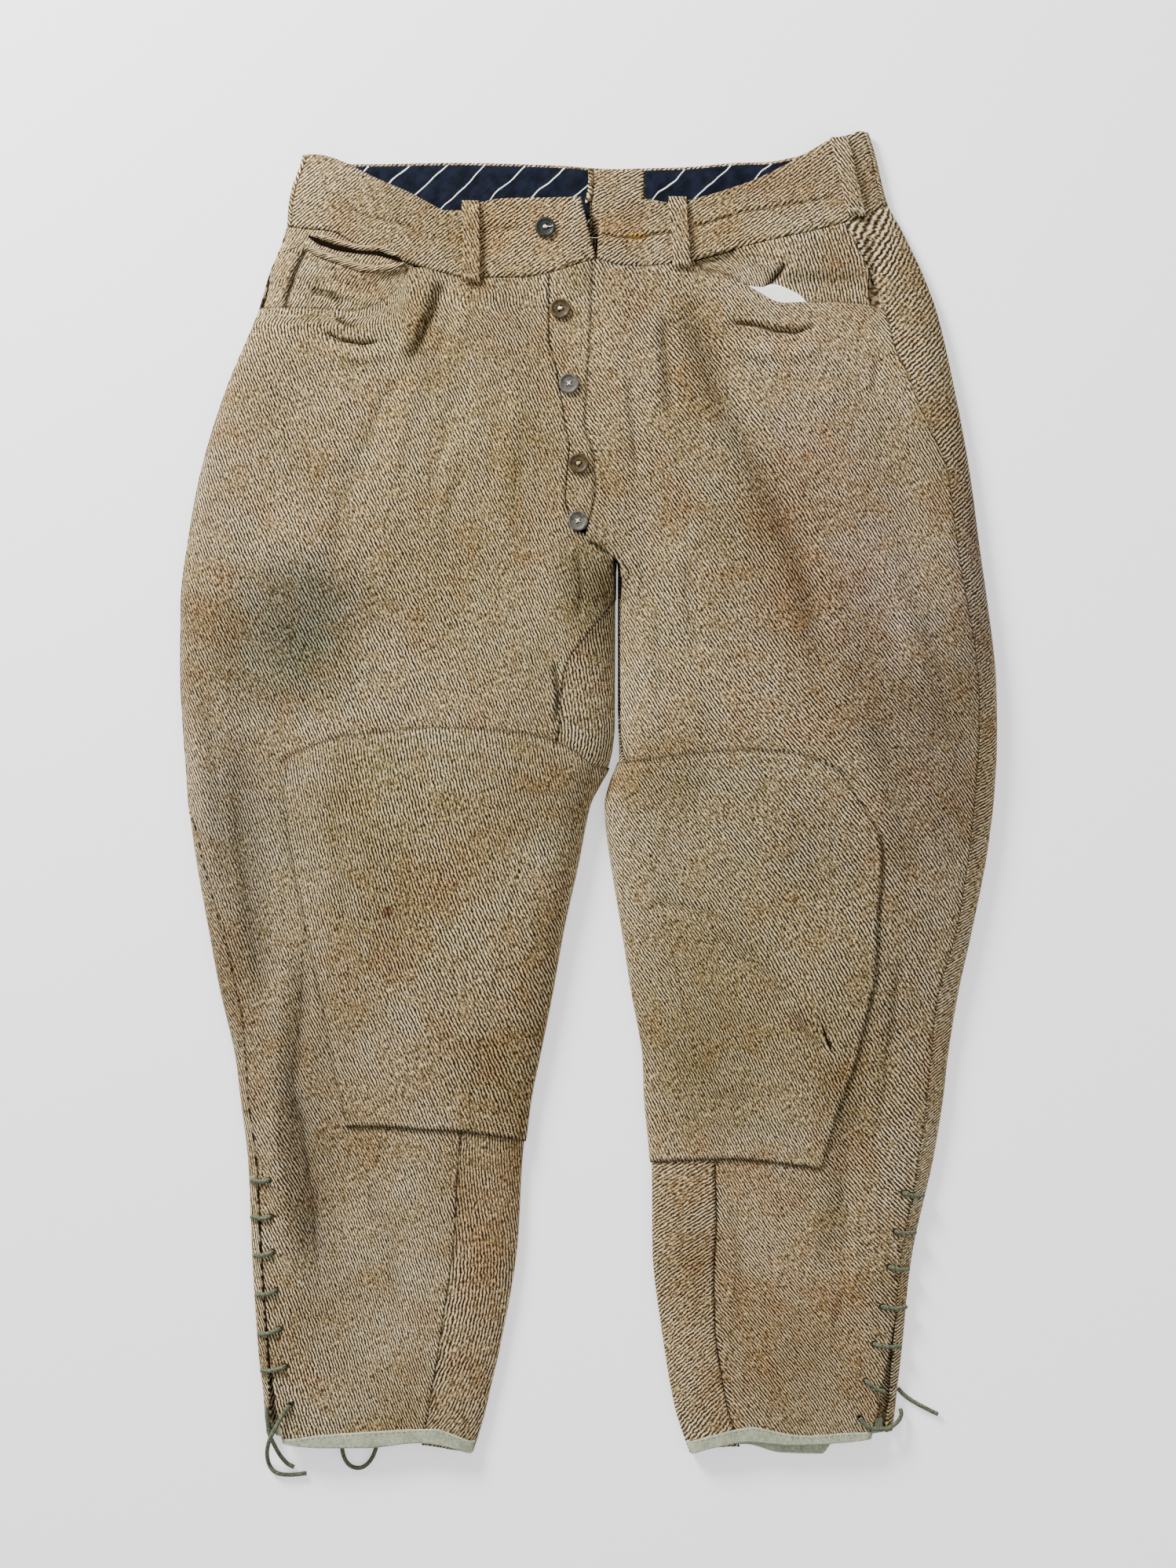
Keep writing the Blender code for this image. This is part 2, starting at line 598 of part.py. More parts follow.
def add_waist_insides():
    def top(x):
        return curve_value(WAIST_BACK_TOP, x) + LINING_DROP

    def foot(x):
        return curve_value(WAIST_BACK_SEAM, x) - 1

    height = WAISTBAND + LAY_GAP + COTTON / 2
    for side, ends in LINING_ENDS.items():
        add_wall("lining_" + side, floor_sheet(ends, top, foot, height), 12, 2, COTTON, NAVY,
                 flip=True)
    height = WAISTBAND + LAY_GAP + SINGLE / 2
    add_wall("centre_back_facing", floor_sheet(CENTRE_FACING, top, foot, height), 4, 2, SINGLE,
             flip=True)


def add_stand():
    def point(across, along):
        down = 200.0
        for _ in range(4):
            x = lerp(curve_value(STAND_SEAM, min(down, STAND_FOOT)) + 2 * SEAM_GAP, STAND_END, across)
            top = curve_value(WAIST_SEAM["right"], x) + SEAM_GAP
            foot = STAND_FOOT + 0.3 * max(0.0, x + 12)
            down = lerp(top, foot, along)
        return Vector((x, TOP_Y - down, top_height("right", x, down)))
    add_wall("fly_stand", point, 3, 9, SINGLE, flip=True)


def facing_point(side, sink):
    """A pocket's facing: level with the waistband at its top, and under the front below."""
    def surface(across, along):
        down = 110.0
        for _ in range(4):
            inset = max(3.0, curve_value(OUTSEAM[side], down, 1) + SEAM_GAP)
            outer = fold_x(side, "outer", down) + inward(side, "outer") * inset
            x = lerp(FACING_END[side], outer, 1 - (1 - across) ** 1.5)
            top = curve_value(WAIST_SEAM[side], x) + SEAM_GAP
            down = lerp(top, curve_value(FRONT_TOP[side], x) + FACING_LAP, along)
        return top_point(side, x, down), x, down

    def plain(across, along):
        return surface(across, along)[0]

    def point(across, along):
        spot, x, down = surface(across, along)
        mouth = curve_value(FRONT_TOP[side], x)
        out = normal_of(plain, across, along) * (-1 if side == "right" else 1)
        return spot - out * sink * smooth((down - mouth + 26) / 12)
    return point


def add_pockets():
    under = TWILL / 2 + LAY_GAP
    add_wall("pocket_facing_right", facing_point("right", under + SINGLE / 2), 9, 5, SINGLE,
             flip=True)
    sink = under + COTTON + LAY_GAP + SINGLE / 2
    add_wall("pocket_facing_left", facing_point("left", sink), 11, 5, SINGLE)

    def bag(across, along):
        x = lerp(BAG_EDGE[0][0], BAG_EDGE[-1][0], across)
        down = lerp(curve_value(BAG_EDGE, x), curve_value(FRONT_TOP["left"], x) + BAG_LAP, along)
        spot = top_point("left", x, down)
        spot.z -= under + COTTON / 2
        return spot
    add_wall("pocket_bag_left", bag, 8, 3, COTTON, WHITE, flip=True)


def patch_point(side, levels):
    way = inward(side, "inner")

    def point(across, along):
        at = along * (len(levels) + 1)
        down = 600.0
        for _ in range(4):
            edge = curve_value(PATCH_SIDE[side], down)
            fold = fold_x(side, "inner", down)
            crown_end = fold + way * SIDE_RUN["inner"]
            if across < PATCH_SPLIT:
                x = lerp(edge, crown_end, across / PATCH_SPLIT)
            else:
                turn = lerp(1, PATCH_TURN, (across - PATCH_SPLIT) / (1 - PATCH_SPLIT))
                x = section_point(side, "inner", turn, down).x
            top = curve_value(PATCH_TOP[side], x)
            foot = curve_value(PATCH_FOOT[side], x)
            steps = [top] + list(levels) + [foot]
            low = min(int(at), len(steps) - 2)
            down = lerp(steps[low], steps[low + 1], at - low)
        if across < PATCH_SPLIT:
            return top_point(side, x, down)
        return section_point(side, "inner", turn, down)
    return point


def add_patches():
    for side in ("right", "left"):
        start = max(down for x, down in PATCH_TOP[side]) + 4
        end = min(down for x, down in PATCH_FOOT[side]) - 3
        levels = [down for down in ROWS if start < down < end]
        add_wall("knee_patch_" + side, patch_point(side, levels), PATCH_COLUMNS, len(levels) + 1,
                 SINGLE, lift=TWILL / 2 + PATCH_GAP + SINGLE / 2, flip=side == "left")


def add_hem_tapes():
    for side in ("right", "left"):
        def front(across, along, side=side):
            down = 965.0
            for _ in range(4):
                inset = curve_value(OUTSEAM[side], down, 1) + SEAM_GAP
                outer = fold_x(side, "outer", down) + inward(side, "outer") * inset
                inner = fold_x(side, "inner", down) + inward(side, "inner") * 1.5
                x = lerp(outer, inner, across ** 0.8 if across < 0.5 else 1 - (1 - across) ** 1.4)
                down = lerp(curve_value(TAPE_TOP[side], x), curve_value(HEM[side], x), along)
            return top_point(side, x, down)

        def foot(x, side=side):
            return curve_value(BACK_HEM[side], x)

        def top(x, side=side):
            return curve_value(BACK_HEM[side], x) - BACK_TAPE_DEPTH

        add_wall("hem_tape_front_" + side, front, 14, 2, COTTON, SAGE,
                 lift=TWILL / 2 + LAY_GAP + COTTON / 2, flip=side == "left")
        ends = [fold_x(side, edge, 970) + inward(side, edge) * (CORNER + 2)
                for edge in ("outer", "inner")]
        add_wall("hem_tape_back_" + side,
                 floor_sheet(sorted(ends), top, foot, TWILL + LAY_GAP + COTTON / 2),
                 8, 1, COTTON, SAGE, flip=True)


def cloth_frame(side, x, down):
    """A point on the upper layer and the way out of it."""
    step = 0.05
    spot = top_point(side, x, down)
    across = top_point(side, x + step, down) - top_point(side, x - step, down)
    along = top_point(side, x, down - step) - top_point(side, x, down + step)
    return spot, across.cross(along).normalized()


def add_belt_loops():
    for name, side, width, upper, lower in LOOPS:
        def point(across, along, side=side, width=width, upper=upper, lower=lower):
            x = lerp(upper[0], lower[0], along) + (across - 0.5) * width
            spot, out = cloth_frame(side, x, lerp(upper[1], lower[1], along))
            arch = smooth(along / 0.22) * smooth((1 - along) / 0.22)
            return spot + out * (WAISTBAND / 2 + LAY_GAP + LOOP_THICK / 2 + LOOP_CLEAR * arch)
        add_wall(name, point, 2, 10, LOOP_THICK, flip=True)


def button_mesh():
    """A turned button with a raised rim, a dished face and four holes."""
    half = BUTTON_THICK / 2
    profile = ((0, -half), (6.4, -half), (BUTTON_RADIUS, 0.2), (6.8, half), (6.0, half),
               (5.2, 0.5), (0, 0.5))
    work = bmesh.new()
    ring = [work.verts.new((r * MM, 0, z * MM)) for r, z in profile]
    edges = [work.edges.new(pair) for pair in zip(ring, ring[1:])]
    bmesh.ops.spin(work, geom=ring + edges, cent=(0, 0, 0), axis=(0, 0, 1), dvec=(0, 0, 0),
                   angle=2 * math.pi, steps=BUTTON_STEPS, use_merge=True)
    bmesh.ops.remove_doubles(work, verts=work.verts[:], dist=1e-6)
    bmesh.ops.recalc_face_normals(work, faces=work.faces[:])
    blank = bpy.data.meshes.new("button_blank")
    work.to_mesh(blank)
    work.free()
    holes = bmesh.new()
    for k in range(4):
        turn = math.pi / 4 + k * math.pi / 2
        place = Matrix.Translation((2.0 * MM * math.cos(turn), 2.0 * MM * math.sin(turn), 0))
        bmesh.ops.create_cone(holes, cap_ends=True, segments=6, radius1=0.9 * MM,
                              radius2=0.9 * MM, depth=BUTTON_THICK * 2 * MM, matrix=place)
    drill_mesh = bpy.data.meshes.new("button_drill")
    holes.to_mesh(drill_mesh)
    holes.free()
    button = bpy.data.objects.new("button_blank", blank)
    drill = bpy.data.objects.new("button_drill", drill_mesh)
    for thing in (button, drill):
        bpy.context.scene.collection.objects.link(thing)
    cut = button.modifiers.new("Holes", "BOOLEAN")
    cut.object = drill
    cut.operation = "DIFFERENCE"
    bpy.context.view_layer.update()
    graph = bpy.context.evaluated_depsgraph_get()
    drilled = bpy.data.meshes.new_from_object(button.evaluated_get(graph))
    for thing in (button, drill):
        bpy.data.objects.remove(thing)
    return drilled


def add_buttons():
    drilled = button_mesh()
    for name, x, down, under, colour in BUTTONS:
        spot, out = cloth_frame("right", x, down)
        button = add_object(name, drilled.copy(), colour, 0.4)
        button.location = (spot + out * (under / 2 + LAY_GAP + BUTTON_THICK / 2)) * MM
        button.rotation_mode = "QUATERNION"
        button.rotation_quaternion = out.to_track_quat("Z", "Y")


def add_tube(name, points, diameter):
    """A lace as a curve with a round bevel and closed ends."""
    curve = bpy.data.curves.new(name, "CURVE")
    curve.dimensions = "3D"
    curve.bevel_depth = diameter / 2 * MM
    curve.bevel_resolution = 2
    curve.use_fill_caps = True
    spline = curve.splines.new("POLY")
    spline.points.add(len(points) - 1)
    for spot, place in zip(spline.points, points):
        spot.co = (*(Vector(place) * MM), 1)
    return add_object(name, curve, CORD_GREEN)


def lace_point(side, x, down):
    spot, out = cloth_frame(side, x, down)
    return spot + out * (TWILL / 2 + LAY_GAP + LACE / 2)


def add_laces():
    for side, rungs in RUNGS.items():
        for number, (x, down, far_x, far_down) in enumerate(rungs, 1):
            points = []
            for k in range(RUNG_POINTS):
                share = 1 - (1 - k / (RUNG_POINTS - 1)) ** 2
                points.append(lace_point(side, lerp(x, far_x, share), lerp(down, far_down, share)))
            add_tube(f"lace_rung_{side}_{number}", points, LACE)
    for name, route in LACE_RUNS.items():
        side = "right" if "right" in name else "left"
        points = []
        for x, down, height in route:
            on_cloth = lace_point(side, x, down) + Vector((0, 0, LACE_HUMP))
            points.append(on_cloth if height is None else (x, TOP_Y - down, height))
        add_tube(name, points, LACE)


def clear_scene():
    for thing in list(bpy.data.objects):
        bpy.data.objects.remove(thing)


clear_scene()
add_panels()
add_waistbands()
add_waist_insides()
add_stand()
add_pockets()
add_patches()
add_hem_tapes()
add_belt_loops()
add_buttons()
add_laces()
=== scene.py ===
# %% [markdown]
# A pair of lace-up breeches in a heavy marled twill, laid flat on its back.
# The imported model is loaded first and gives the fixed frame: each solid in it is later covered by a
# finer piece of cloth, horn or lace that lies in the same place.

# %% Load the frame
import math

import bmesh
import bpy
import numpy as np
from mathutils import Matrix, Vector


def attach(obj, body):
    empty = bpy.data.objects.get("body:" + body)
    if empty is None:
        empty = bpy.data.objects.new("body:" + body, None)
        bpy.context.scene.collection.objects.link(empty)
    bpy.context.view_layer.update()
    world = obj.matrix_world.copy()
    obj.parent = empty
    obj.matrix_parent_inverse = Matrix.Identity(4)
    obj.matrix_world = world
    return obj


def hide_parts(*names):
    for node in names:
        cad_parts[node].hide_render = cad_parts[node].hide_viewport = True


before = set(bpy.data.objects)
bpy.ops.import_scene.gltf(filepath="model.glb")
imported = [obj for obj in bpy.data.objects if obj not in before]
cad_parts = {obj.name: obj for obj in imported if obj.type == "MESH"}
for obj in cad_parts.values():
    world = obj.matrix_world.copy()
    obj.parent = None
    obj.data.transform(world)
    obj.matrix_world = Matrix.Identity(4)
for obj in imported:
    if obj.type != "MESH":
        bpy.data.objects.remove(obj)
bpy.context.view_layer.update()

# %% [markdown]
# The garment is laid out as a pattern maker would draw it: x runs across and "down" runs from the top
# of the waist to the hem, both in millimetres. A place read from the photograph, in its pixels,
# becomes a place on the cloth with one scale. It is easier to set creases, stitches and stains
# that way than in world coordinates.

# %% Scale and camera
MM = 0.001
TOP_Y = 488.53
PIXEL = 0.58
PHOTO_X, PHOTO_DOWN = 750.0, 168.0
PHOTO_SIZE = (1498, 1997)
LENS, SENSOR = 62.0, 36.0
FOLD_LEVEL = 6.0


def on_cloth(line):
    """Places in the photograph's pixels as x and down, in millimetres."""
    return [((x - PHOTO_X) * PIXEL, (y - PHOTO_DOWN) * PIXEL) for x, y in line]


def add_camera():
    (x, down), = on_cloth([(PHOTO_SIZE[0] / 2, PHOTO_SIZE[1] / 2)])
    lens = bpy.data.cameras.new("overhead")
    lens.lens, lens.sensor_width = LENS, SENSOR
    away = PHOTO_SIZE[1] * PIXEL * LENS / SENSOR
    camera = bpy.data.objects.new("overhead", lens)
    camera.location = (x * MM, (TOP_Y - down) * MM, (away + FOLD_LEVEL) * MM)
    bpy.context.scene.collection.objects.link(camera)
    bpy.context.scene.camera = camera
    print("camera", round(away), "mm above the cloth")


add_camera()

# %% [markdown]
# These are the sizes that the solids were cut from. The cloth here is worked out from the same
# tables, so that each fine piece follows its solid and clears its neighbours.

# %% Pattern tables
# Thicknesses of the cloths, and the clearances between the pieces
TWILL = 1.8
WAISTBAND = 2.4
SINGLE = 1.4
COTTON = 1.0
SEAM_GAP = 0.5
LAY_GAP = 0.5

# The section of a leg: a tight corner on the floor, then an elliptical side up to the crown
CORNER = 3.0
FLOOR_RUN = 10.0  # along the floor for each turn past the corner
SIDE_RUN = {"outer": 42.0, "inner": 30.0}
# Between these two places down, the one hollow of the torso becomes the two legs
CROTCH_START = 312.0
CROTCH = 345.0
CENTRE_BACK = 21.0
ROWS = (160, 195, 235, 275, 296, 305, 315, 326, 345, 375, 405, 436, 466, 480, 495, 520,
        555, 595, 640, 685, 722, 752, 790, 835, 880, 915, 945)
UPPER_ROWS = 3
# A front's columns are closer within these reaches of its two edges, at these shares across
OUTER_REACH = 46.0
INNER_REACH = 34.0
OUTER_SHARE = 0.25
INNER_SHARE = 0.8

# %% Outline and seams
# down, then the outline's x at: right leg outer, right leg inner, left leg inner, left leg outer
OUTLINE = (
    (0, -210, 20, 22, 206.5),
    (20, -212, 20, 22, 212.5),
    (40, -219, 20, 22, 217),
    (55, -222, 20, 22, 221.5),
    (70, -223, 20, 22, 230),
    (88, -229, 20, 22, 239),
    (105, -236, 20, 22, 247),
    (135, -245, 20, 22, 258),
    (190, -268, 20, 22, 270.5),
    (250, -286.5, 20, 22, 281.5),
    (310, -297.5, 20, 22, 289.5),
    (345, -301.5, 19.7, 22, 294.5),
    (400, -302, 19.5, 22, 301),
    (440, -300, 19.3, 22, 302),
    (466, -298, 15.5, 22.5, 301.5),
    (480, -297, 8, 17.5, 300.5),
    (495, -296, 0.5, 13.5, 299.5),
    (512, -294, -3.7, 14, 297.5),
    (540, -290, -9, 17.7, 293.5),
    (590, -281, -20, 26, 283.5),
    (635, -272.5, -28, 33, 273.5),
    (680, -262, -37, 41, 266),
    (715, -257.5, -44, 42.5, 262),
    (760, -252, -49, 46.5, 254.5),
    (830, -249, -53.5, 47, 239),
    (900, -244.5, -66, 56, 231.5),
    (930, -241, -73, 61, 228),
    (948, -239.5, -77, 65, 226),
    (980, -237, -87, 76, 222),
)
# down, height of the crown's middle surface
CROWN = ((0, 12.5), (50, 13), (110, 15.5), (200, 19.5), (330, 23), (440, 22), (560, 19),
         (700, 15.5), (850, 12.5), (940, 11.5), (980, 11))
# down, how far the inseam lies in from the inner fold
INSEAM = {
    "right": ((345, 0), (362, 12), (378, 24), (390, 33), (410, 38), (450, 41), (470, 45),
              (527, 43), (590, 43), (635, 45), (690, 47), (740, 46), (850, 46), (930, 42),
              (980, 38)),
    "left": ((345, 0), (440, 0.6), (466, 4), (480, 14), (500, 23), (530, 29), (569, 32),
             (602, 35), (650, 38), (682, 39), (742, 44), (806, 46), (862, 41), (890, 38),
             (980, 38)),
}
# down, how far the front's edge and the back's edge lie in from the outer fold: below 752 the two
# part and make the laced opening
OUTSEAM = {
    "right": ((70, 0, 0), (500, 0, 0), (513, 3.5, 3.5), (540, 5.8, 5.8), (575, 9.3, 9.3),
              (613, 13, 13), (650, 13, 13), (680, 8.5, 8.5), (720, 6.2, 6.2), (752, 6.5, 6.5),
              (765, 7, 6.2), (890, 8, 6.8), (925, 8, 5), (942, 8.6, 4.2), (960, 10.5, 5),
              (980, 13, 6.5)),
    "left": ((54, 40, 40), (134, 39, 39), (162, 38.5, 38.5), (181, 33.5, 33.5),
             (213, 27, 27), (252, 17, 17), (316, 17, 17), (380, 14.5, 14.5), (425, 14, 14),
             (491, 15, 15), (535, 14, 14), (590, 12, 12), (636, 15, 15), (680, 13, 13),
             (752, 11, 11), (765, 10.6, 9.6), (830, 8, 7), (870, 7.4, 6.2), (900, 9.5, 6),
             (930, 12, 4.7), (948, 13, 5.2), (965, 15, 4.5), (980, 16.5, 4)),
}
# x, down along the seam under each front waistband, and along its free top edge
WAIST_SEAM = {
    "right": ((-223, 70), (-207, 73), (-188, 75.5), (-165, 88.5), (-140, 96), (-121, 102),
              (-111, 105), (-93, 109), (-64, 109.6), (-45, 109), (-25.5, 105), (-6.5, 98.6),
              (5.2, 95.7)),
    "left": ((3, 95.7), (6.5, 96.3), (22.5, 100.3), (41, 101), (62, 98.6), (77, 96.3),
             (124, 84), (190, 68), (221, 54.5)),
}
WAIST_TOP = {
    "right": ((-211, 17), (-195, 19), (-180, 24.5), (-157, 36), (-133, 46.5), (-118, 54.5),
              (-107, 60), (-94, 60), (-88, 56.3), (-63, 51), (-35, 50.5), (-6, 50)),
    "left": ((8, 55), (43, 51.6), (57.5, 54), (72.5, 52.8), (124, 36.5), (166.5, 14),
             (178, 7.5), (192, 3.5), (201, 0.2), (207, 1)),
}
WAIST_BACK_SEAM = ((-223, 70), (-120, 76), (21, 77), (130, 70), (221, 54.5))
WAIST_BACK_TOP = ((-211, 17), (-173, 23), (-93, 22), (-24, 24), (17, 26.7), (43, 26), (75, 25),
                  (108, 22), (132, 21.5), (166, 14), (201, 0.2), (207, 1))
# x, down along each front's upper edge: the pocket's mouth, then the waistband's seam
FRONT_TOP = {
    "right": ((-246, 130.5), (-188, 133), (-176, 134), (-163, 132), (-147.5, 124.5),
              (-137, 113), (-133, 101.8), (-121, 102), (-111, 105), (-93, 109), (-64, 109.6),
              (-45, 109), (-25.5, 105)),
    "left": ((3, 95.7), (6.5, 96.3), (22.5, 100.3), (41, 101), (62, 98.6), (77, 96.3),
             (82, 103), (103, 108), (113, 113.5), (126.5, 121), (134.5, 126), (143, 128),
             (158, 127.6), (182, 127.6), (203.5, 129.3), (219, 134)),
}
# x, down along the front hem and the back hem
HEM = {
    "right": ((-230, 964), (-224.5, 968), (-198, 970.5), (-162, 970.5), (-125, 967),
              (-106, 969.5), (-89, 975), (-84, 976)),
    "left": ((70, 978), (76, 976), (90, 971), (118, 966), (147, 968.5), (177, 967.5),
             (206, 964.5), (222, 960)),
}
BACK_HEM = {
    "right": ((-238, 962), (-198, 969), (-125, 969), (-89, 975), (-84, 976)),
    "left": ((70, 978), (90, 971), (118, 970), (140, 976), (173, 977), (180, 969), (222, 960)),
}
# down, x of the stand's seam on the right front, and x of the left front's free fly edge
STAND_SEAM = ((100, -29.6), (156, -29.6), (173, -25), (195, -21), (219, -17.5), (233, -14.5),
              (254, -16.2), (275, -17.4), (286, -13.8), (296, -10.4), (305, 16.5),
              (320, 18), (345, 18.8))
FLY_EDGE = ((96, 3.5), (120, 3), (156, 1.8), (190, -0.6), (219, -1.7), (240, 4.6),
            (268, 5.8), (282, 3), (296, -1.2), (302, -1.7), (304, 2), (311, 12.8),
            (321, 23.2), (333, 23.8), (345, 22.9))
STAND_END = 14.0
STAND_FOOT = 292.0
FLY_LIFT = 2.4
FLY_LIFT_RUN = (18.0, 42.0)
print("seams", len(OUTLINE), "rows of outline")

# %% Large folds, patches and hem tapes
# name: half width, depth, then the line that the fold follows as (x, down)
FOLDS = {
    "left_long": (17, -3.6, ((75, 112), (77, 146), (88, 167), (101, 205), (123, 245),
                             (149, 299), (162, 338), (172, 391), (178, 425))),
    "left_outer": (20, -3.0, ((203, 425), (227, 480), (236, 524), (241, 569))),
    "left_fly": (11, -1.6, ((56, 134), (58, 187), (61, 220))),
    "left_knee": (18, -1.0, ((105, 589), (149, 646), (176, 684))),
    "right_tuck": (11, -4.0, ((-111, 112), (-110, 119), (-115, 136), (-125, 160), (-136, 180))),
    "right_thigh": (22, -3.0, ((-262, 440), (-252, 520), (-243, 600), (-236, 650))),
    "right_calf": (18, -2.4, ((-222, 700), (-214, 780), (-204, 850))),
    "left_calf": (18, -1.8, ((196, 700), (186, 790), (176, 860))),
}
# x, down along each knee patch's upper and lower edges, and down, x along its outer edge
PATCH_TOP = {
    "right": ((-222, 462), (-190, 449), (-152, 443.5), (-108, 440), (-63, 442.5),
              (-30, 448), (-12, 456), (3.5, 469)),
    "left": ((14, 467.5), (61, 461), (110, 456.5), (145, 457.5), (170, 464.5), (184, 472)),
}
PATCH_FOOT = {
    "right": ((-178, 734), (-152, 734), (-119, 736.5), (-96, 737.5), (-63, 742), (-46, 746)),
    "left": ((46, 761), (70, 759), (103, 758), (131, 760), (155, 763), (172, 765.5)),
}
PATCH_SIDE = {
    "right": ((462, -222), (491, -224.5), (524, -221), (569, -212), (613, -203), (657, -194),
              (682, -190), (734, -177)),
    "left": ((470, 183), (518, 213), (540, 216), (580, 213), (620, 211.5), (651, 205),
             (688, 196), (724, 183), (765, 171)),
}
TAPE_TOP = {
    "right": ((-230, 961), (-224.5, 964.5), (-198, 961), (-162, 958.5), (-134, 957),
              (-112, 956.5), (-97, 962), (-88, 966)),
    "left": ((73, 967), (90, 961.5), (121, 955), (140, 959), (158, 961.5), (190, 959.5),
             (208, 959), (222, 954)),
}
BACK_TAPE_DEPTH = 11.0
print("large folds", sorted(FOLDS))

# %% Waist and pockets
# The waistband's ends at the fly, top and foot, and its joins just inside the side folds
WAIST_ENDS = {"right": (-6.0, 5.2), "left": (8.1, 6.6)}
WAIST_JOIN = 3.2
WAIST_BACK_COLUMNS = 22
LINING_DROP = 2.0
LINING_ENDS = {"right": (-186.0, 0.6), "left": (41.8, 168.0)}
CENTRE_FACING = (2.8, 40.6)
FACING_END = {"right": -129.0, "left": 74.0}
FACING_LAP = 12.0
# x, down along the free edge of the white bag that shows in the left pocket's mouth
BAG_EDGE = ((110, 113.5), (119, 115.5), (128, 116.3), (135, 114), (147, 117.7), (156, 122.8),
            (160, 127), (165, 131))
BAG_LAP = 10.0
PATCH_TURN = -0.42
PATCH_SPLIT = 0.4

# %% Buttons, loops and laces
BUTTON_THICK = 2.6
# name, then x and down of each button's centre, and the thickness of the cloth that it lies on
BUTTONS = (
    ("button_waist", -32, 72.5, WAISTBAND),
    ("button_fly_1", -21, 132.8, SINGLE),
    ("button_fly_2", -14.5, 188, SINGLE),
    ("button_fly_3", -7.5, 247, SINGLE),
    ("button_fly_4", -8, 289, SINGLE),
)
LOOP_THICK = 1.5
# name, side, width, then x and down of its upper and lower end
LOOPS = (
    ("belt_loop_right", "right", 12.5, (-87, 53), (-86, 113)),
    ("belt_loop_left", "left", 13.0, (65, 50), (68.5, 102)),
    ("belt_loop_side", "left", 13.0, (184, 6), (197, 64)),
)
LOOP_CLEAR = 3.2

LACE = 3.2
LACE_HUMP = 0.3
# x and down of the eyelet in the front, and of the lace's far end at the outer fold
RUNGS = {
    "right": ((-235, 773, -248, 773), (-234.3, 800, -247.8, 800.4), (-232.6, 826, -246, 829),
              (-230.3, 854.5, -244.8, 858), (-227.7, 883, -243, 887), (-223.5, 910.5, -241, 914)),
    "left": ((231.4, 782.5, 246, 784.5), (225.6, 811, 240, 811.5), (221, 837, 235, 839),
             (215.8, 866.5, 233.5, 867), (210, 894, 229.8, 896), (204, 921, 217.5, 929.5)),
}
# x, down and height of each free or looped run of lace: None lies on the cloth
LACE_RUNS = {
    "lace_end_right_upper": ((-219.8, 939, None), (-224, 944.5, None), (-227.6, 950, 15),
                             (-231.2, 956.5, 15.4), (-234.4, 963, 14.6), (-236.6, 970, 11.4),
                             (-237.6, 977, 6.4), (-237, 984, 2.4), (-234, 989.5, 1.7),
                             (-229, 992.3, 1.7), (-222, 993, 1.7), (-215, 992.6, 1.7),
                             (-209, 991.8, 1.7)),
    "lace_end_right_lower": ((-236.2, 941, None), (-236, 948, None), (-235.2, 955, None),
                             (-234, 962, None), (-232.2, 969, 8.4), (-229.6, 975.5, 5.0),
                             (-226.4, 981, 2.4), (-222.6, 985, 1.7), (-218, 987.4, 1.7)),
    "lace_bow_right": ((-182.5, 958, 5.9), (-182.5, 965, 5.9), (-182.3, 972, 5.4),
                       (-181.3, 978.5, 3.4), (-178.8, 984, 1.9), (-174.5, 987.3, 1.7),
                       (-169, 987.8, 1.7), (-164, 985, 1.9), (-160, 979.5, 3.2),
                       (-157.5, 973, 5.3), (-156, 966, 5.9), (-155, 959, 5.9)),
    "lace_end_left": ((228.9, 929, 1.7), (233, 933.5, 1.7), (237.5, 937, 1.7), (242.5, 940, 1.7),
                      (248, 943, 1.7), (253.5, 945.8, 1.7), (258.5, 948.2, 1.7)),
    "lace_loop_left": ((199.5, 948.3, None), (203, 953, None), (208, 956, None),
                       (214, 957, None), (219.5, 956.6, None), (224.5, 955, 8.8),
                       (229, 951.6, 6.4), (231, 947.5, 5.0), (230.4, 943.5, 4.4)),
}


# %% [markdown]
# A flat garment is two layers that meet at a fold. A side view of a leg shows a tight corner on the
# table, a curved side and a low crown, and the crown sinks wherever a crease runs. Each layer is
# worked out from that section. The creases are lists of places read from the photograph, each
# with its own half width and depth, so that no two are alike.

# %% Curves through a table
def curve(table, at, column=1):
    """Values in a column of a table at places in its first column, by smooth monotone steps."""
    rows = np.array(table, dtype=float)
    places, values = rows[:, 0], rows[:, column]
    at = np.clip(at, places[0], places[-1])
    index = np.arange(len(places))
    low, high = np.maximum(index - 1, 0), np.minimum(index + 1, len(places) - 1)
    slopes = (values[high] - values[low]) / (places[high] - places[low])
    i = np.clip(np.searchsorted(places, at) - 1, 0, len(places) - 2)
    span = places[i + 1] - places[i]
    t = (at - places[i]) / span
    chord = (values[i + 1] - values[i]) / span
    limit = 2 * np.abs(chord)
    first = np.where(slopes[i] * chord > 0, np.clip(slopes[i], -limit, limit), 0)
    last = np.where(slopes[i + 1] * chord > 0, np.clip(slopes[i + 1], -limit, limit), 0)
    h = t * t * (3 - 2 * t)
    return (values[i] + (values[i + 1] - values[i]) * h + first * span * t * (1 - t) ** 2
            - last * span * t * t * (1 - t))


def smooth(t):
    t = np.clip(t, 0, 1)
    return t * t * (3 - 2 * t)


def lerp(a, b, t):
    return a + (b - a) * t


# %% [markdown]
# Every place on a leg is known by how far in it lies from a fold: the side is a quarter of an ellipse
# that rises from the corner on the table to the crown. A crease is a trough across its own line, which
# fades out at both ends. Sculpting could give the same forms, but measured lines can be put right one
# at a time.

# %% Folds, sides and crown
def inward(side, edge):
    """+1 where the cloth runs to +x from this fold."""
    return 1 if (side == "right") == (edge == "outer") else -1


